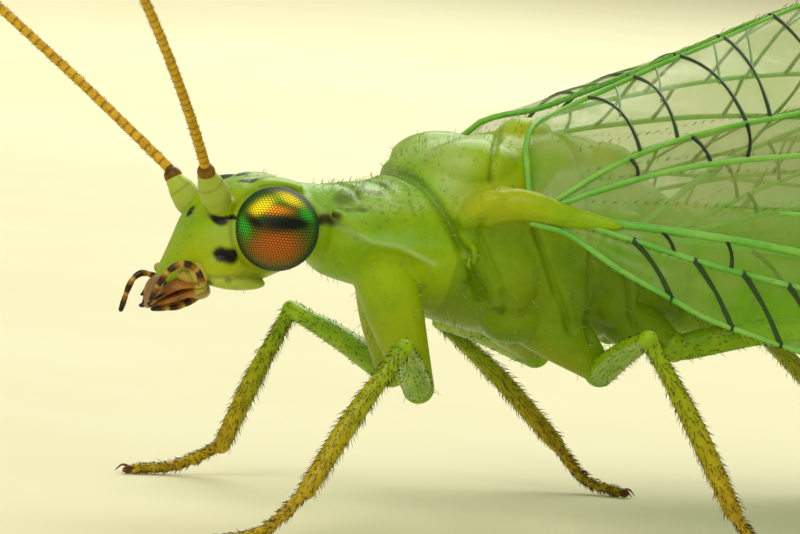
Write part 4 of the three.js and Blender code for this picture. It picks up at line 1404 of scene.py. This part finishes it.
FOREWING = WingShape(
    name="forewing",
    length=14.0,
    x=((0, 1.14), (0.5, 1.4), (1, 1.66), (1.5, 1.86), (2.2, 2.08), (3, 2.25), (6, 2.4), (9, 2.35),
        (14, 2.05)),
    y=((0, 2.3), (14, 16.0)),
    z=((0, 3.02), (1.1, 2.97), (1.8, 2.92), (2.6, 2.83), (4, 2.68), (6, 2.45), (9, 2.1), (14, 1.6)),
    lean=((0, 80), (1, 74), (2.6, 70), (5, 65), (8, 62), (14, 62)),
    curl=((0, 60), (0.5, 80), (1, 78), (1.6, 70), (2.2, 61), (3.2, 47), (4.2, 34), (6, 24), (9, 17),
        (14, 12)),
    front=((0, 0.1), (0.3, 0.16), (0.7, 0.42), (1.1, 0.62), (1.5, 0.8), (2.6, 1.0), (4, 1.12), (8, 1.22),
           (11, 1.12), (12.6, 0.88), (13.5, 0.55), (13.9, 0.25), (14, 0.08)),
    back=((0, 0.12), (0.1, 0.8), (0.3, 1.25), (0.6, 1.65), (1, 2.02), (1.6, 2.43), (2.2, 2.76), (3.2, 3.26),
          (4.2, 3.52), (6, 3.8), (9, 3.83), (10, 3.6), (11.6, 2.9), (12.8, 1.85), (13.5, 1.05), (13.9,
              0.4), (14, 0.1)),
    main={
        "subcosta": (0.0, -0.4, -0.22, 0.03),
        "radius": (0.0, 0.0, 0.0, 0.04),
        "sector": (2.2, 0.1, 0.3, 0.026),
        "second_sector": (4.2, 0.24, 0.48, 0.022),
        "media": (0.0, 0.3, 0.62, 0.03),
        "cubitus": (0.0, 0.46, 0.82, 0.028),
    },
    costal_step=0.47,
    cross_step=0.66,
    seed=21,
)
HINDWING = WingShape(
    name="hindwing",
    length=12.4,
    x=((0, 0.98), (0.5, 1.1), (1, 1.22), (2, 1.38), (4, 1.44), (8, 1.44), (12.4, 1.25)),
    y=((0, 3.55), (12.4, 15.75)),
    z=((0, 2.84), (1.5, 2.78), (4, 2.6), (8, 2.15), (12.4, 1.66)),
    lean=((0, 80), (1.2, 70), (3, 66), (6, 64), (12.4, 63)),
    curl=((0, 0), (1.2, 36), (3, 28), (6, 20), (12.4, 12)),
    front=((0, 0.1), (0.5, 0.2), (2, 0.4), (6, 0.5), (10, 0.5), (11.4, 0.4), (12.1, 0.24), (12.4, 0.08)),
    back=((0, 0.12), (0.5, 0.55), (1.2, 1.1), (2.4, 1.75), (4, 2.15), (6, 2.35), (8, 2.35), (9.6, 2.0),
        (11, 1.35),
          (11.9, 0.75), (12.3, 0.3), (12.4, 0.08)),
    main={
        "radius": (0.0, -0.1, -0.05, 0.034),
        "sector": (1.8, 0.12, 0.3, 0.024),
        "media": (0.0, 0.36, 0.62, 0.025),
        "cubitus": (0.0, 0.66, 0.86, 0.022),
    },
    costal_step=0.5,
    cross_step=0.72,
    seed=33,
)


@dataclass
class Studio:
    """Pale floor, soft light and the camera at the picture's angle."""

    camera_place: Sequence[float] = (55.23, -24.22, 7.68)
    azimuth: float = 65.0
    elevation: float = 5.0
    roll: float = 5.0
    focal: float = 294.3

    def camera(self) -> None:
        """Places the camera, rolled as the picture is."""
        a, e, r = (math.radians(v) for v in (self.azimuth, self.elevation, self.roll))
        level = np.array([math.cos(a), math.sin(a), 0])
        ahead = -np.array([math.sin(a) * math.cos(e), -math.cos(a) * math.cos(e), math.sin(e)])
        up = np.cross(level, ahead)
        right = math.cos(r) * level + math.sin(r) * up
        top = -math.sin(r) * level + math.cos(r) * up
        camera = bpy.data.objects.new("camera", bpy.data.cameras.new("camera"))
        bpy.context.scene.collection.objects.link(camera)
        place = (np.asarray(self.camera_place) + [0, SHIFT_Y, 0]) * MM
        matrix = np.eye(4)
        matrix[:3, 0], matrix[:3, 1], matrix[:3, 2], matrix[:3, 3] = right, top, -ahead, place
        camera.matrix_world = Matrix(matrix.tolist())
        camera.data.lens, camera.data.sensor_width = self.focal, 36.0
        camera.data.clip_start, camera.data.clip_end = 0.005, 10.0
        bpy.context.scene.camera = camera

    def lamp(self, name: str, place: Sequence[float], size: float, power: float,
        tint: Sequence[float]) -> None:
        """A soft square lamp that faces the thorax."""
        lamp = bpy.data.objects.new(name, bpy.data.lights.new(name, "AREA"))
        lamp.data.size, lamp.data.energy, lamp.data.color = size, power, tint
        bpy.context.scene.collection.objects.link(lamp)
        target = np.array([0, 1.5 + SHIFT_Y, 2.5]) * MM
        away = np.asarray(place) * MM - target
        z = away / np.linalg.norm(away)
        x = np.cross([0, 0, 1.0], z)
        x /= np.linalg.norm(x)
        matrix = np.eye(4)
        matrix[:3, 0], matrix[:3, 1], matrix[:3, 2], matrix[:3, 3] = x, np.cross(z,
            x), z, np.asarray(place) * MM
        lamp.matrix_world = Matrix(matrix.tolist())

    def build(self, finishes: Finishes) -> None:
        """Makes floor, sky, lamps and camera."""
        floor = bpy.data.objects.new("floor", bpy.data.meshes.new("floor"))
        wide = 1.5
        floor.data.from_pydata([(-wide, -wide, 0), (wide, -wide, 0), (wide, wide, 0), (-wide, wide, 0)], [],
            [(0, 1, 2, 3)])
        floor.data.materials.append(finishes.floor)
        bpy.context.scene.collection.objects.link(floor)
        world = bpy.data.worlds.new("pale_room")
        bpy.context.scene.world = world
        world.use_nodes = True
        sky = world.node_tree.nodes["Background"]
        sky.inputs["Color"].default_value = (0.95, 0.94, 0.66, 1)
        sky.inputs["Strength"].default_value = 0.45
        self.lamp("key", (60, -60, 90), 0.09, 0.07, (1.0, 0.98, 0.92))
        self.lamp("rim", (-60, 50, 70), 0.08, 0.06, (1.0, 1.0, 0.9))
        self.camera()
        bpy.context.scene.view_settings.view_transform = "Standard"


def main() -> None:
    """Builds the animal and its setting."""
    logging.basicConfig(level=logging.INFO, format="%(message)s")
    finishes = Finishes()
    body_hair = Hairs("body_hair", 11, 0.0035)
    limb_bristles = Hairs("limb_bristles", 12, 0.0036)
    feeler_bristles = Hairs("feeler_bristles", 13, 0.0022)
    wing_fringe = Hairs("wing_fringe", 14, 0.0035)
    Body().build(finishes, body_hair)
    CompoundEyes().build(finishes)
    Mouth().build(finishes)
    Antennae().build(finishes, feeler_bristles)
    Legs().build(finishes, limb_bristles)
    FOREWING.build(finishes, wing_fringe)
    HINDWING.build(finishes, wing_fringe)
    body_hair.build(finishes.pale_hair, Slot.GREEN)
    limb_bristles.build(finishes.dark_hair, Slot.GREEN)
    feeler_bristles.build(finishes.dark_hair, Slot.FLAGELLUM)
    wing_fringe.build(finishes.dark_hair, Slot.WING)
    Studio().build(finishes)
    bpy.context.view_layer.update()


if __name__ == "__main__":
    main()
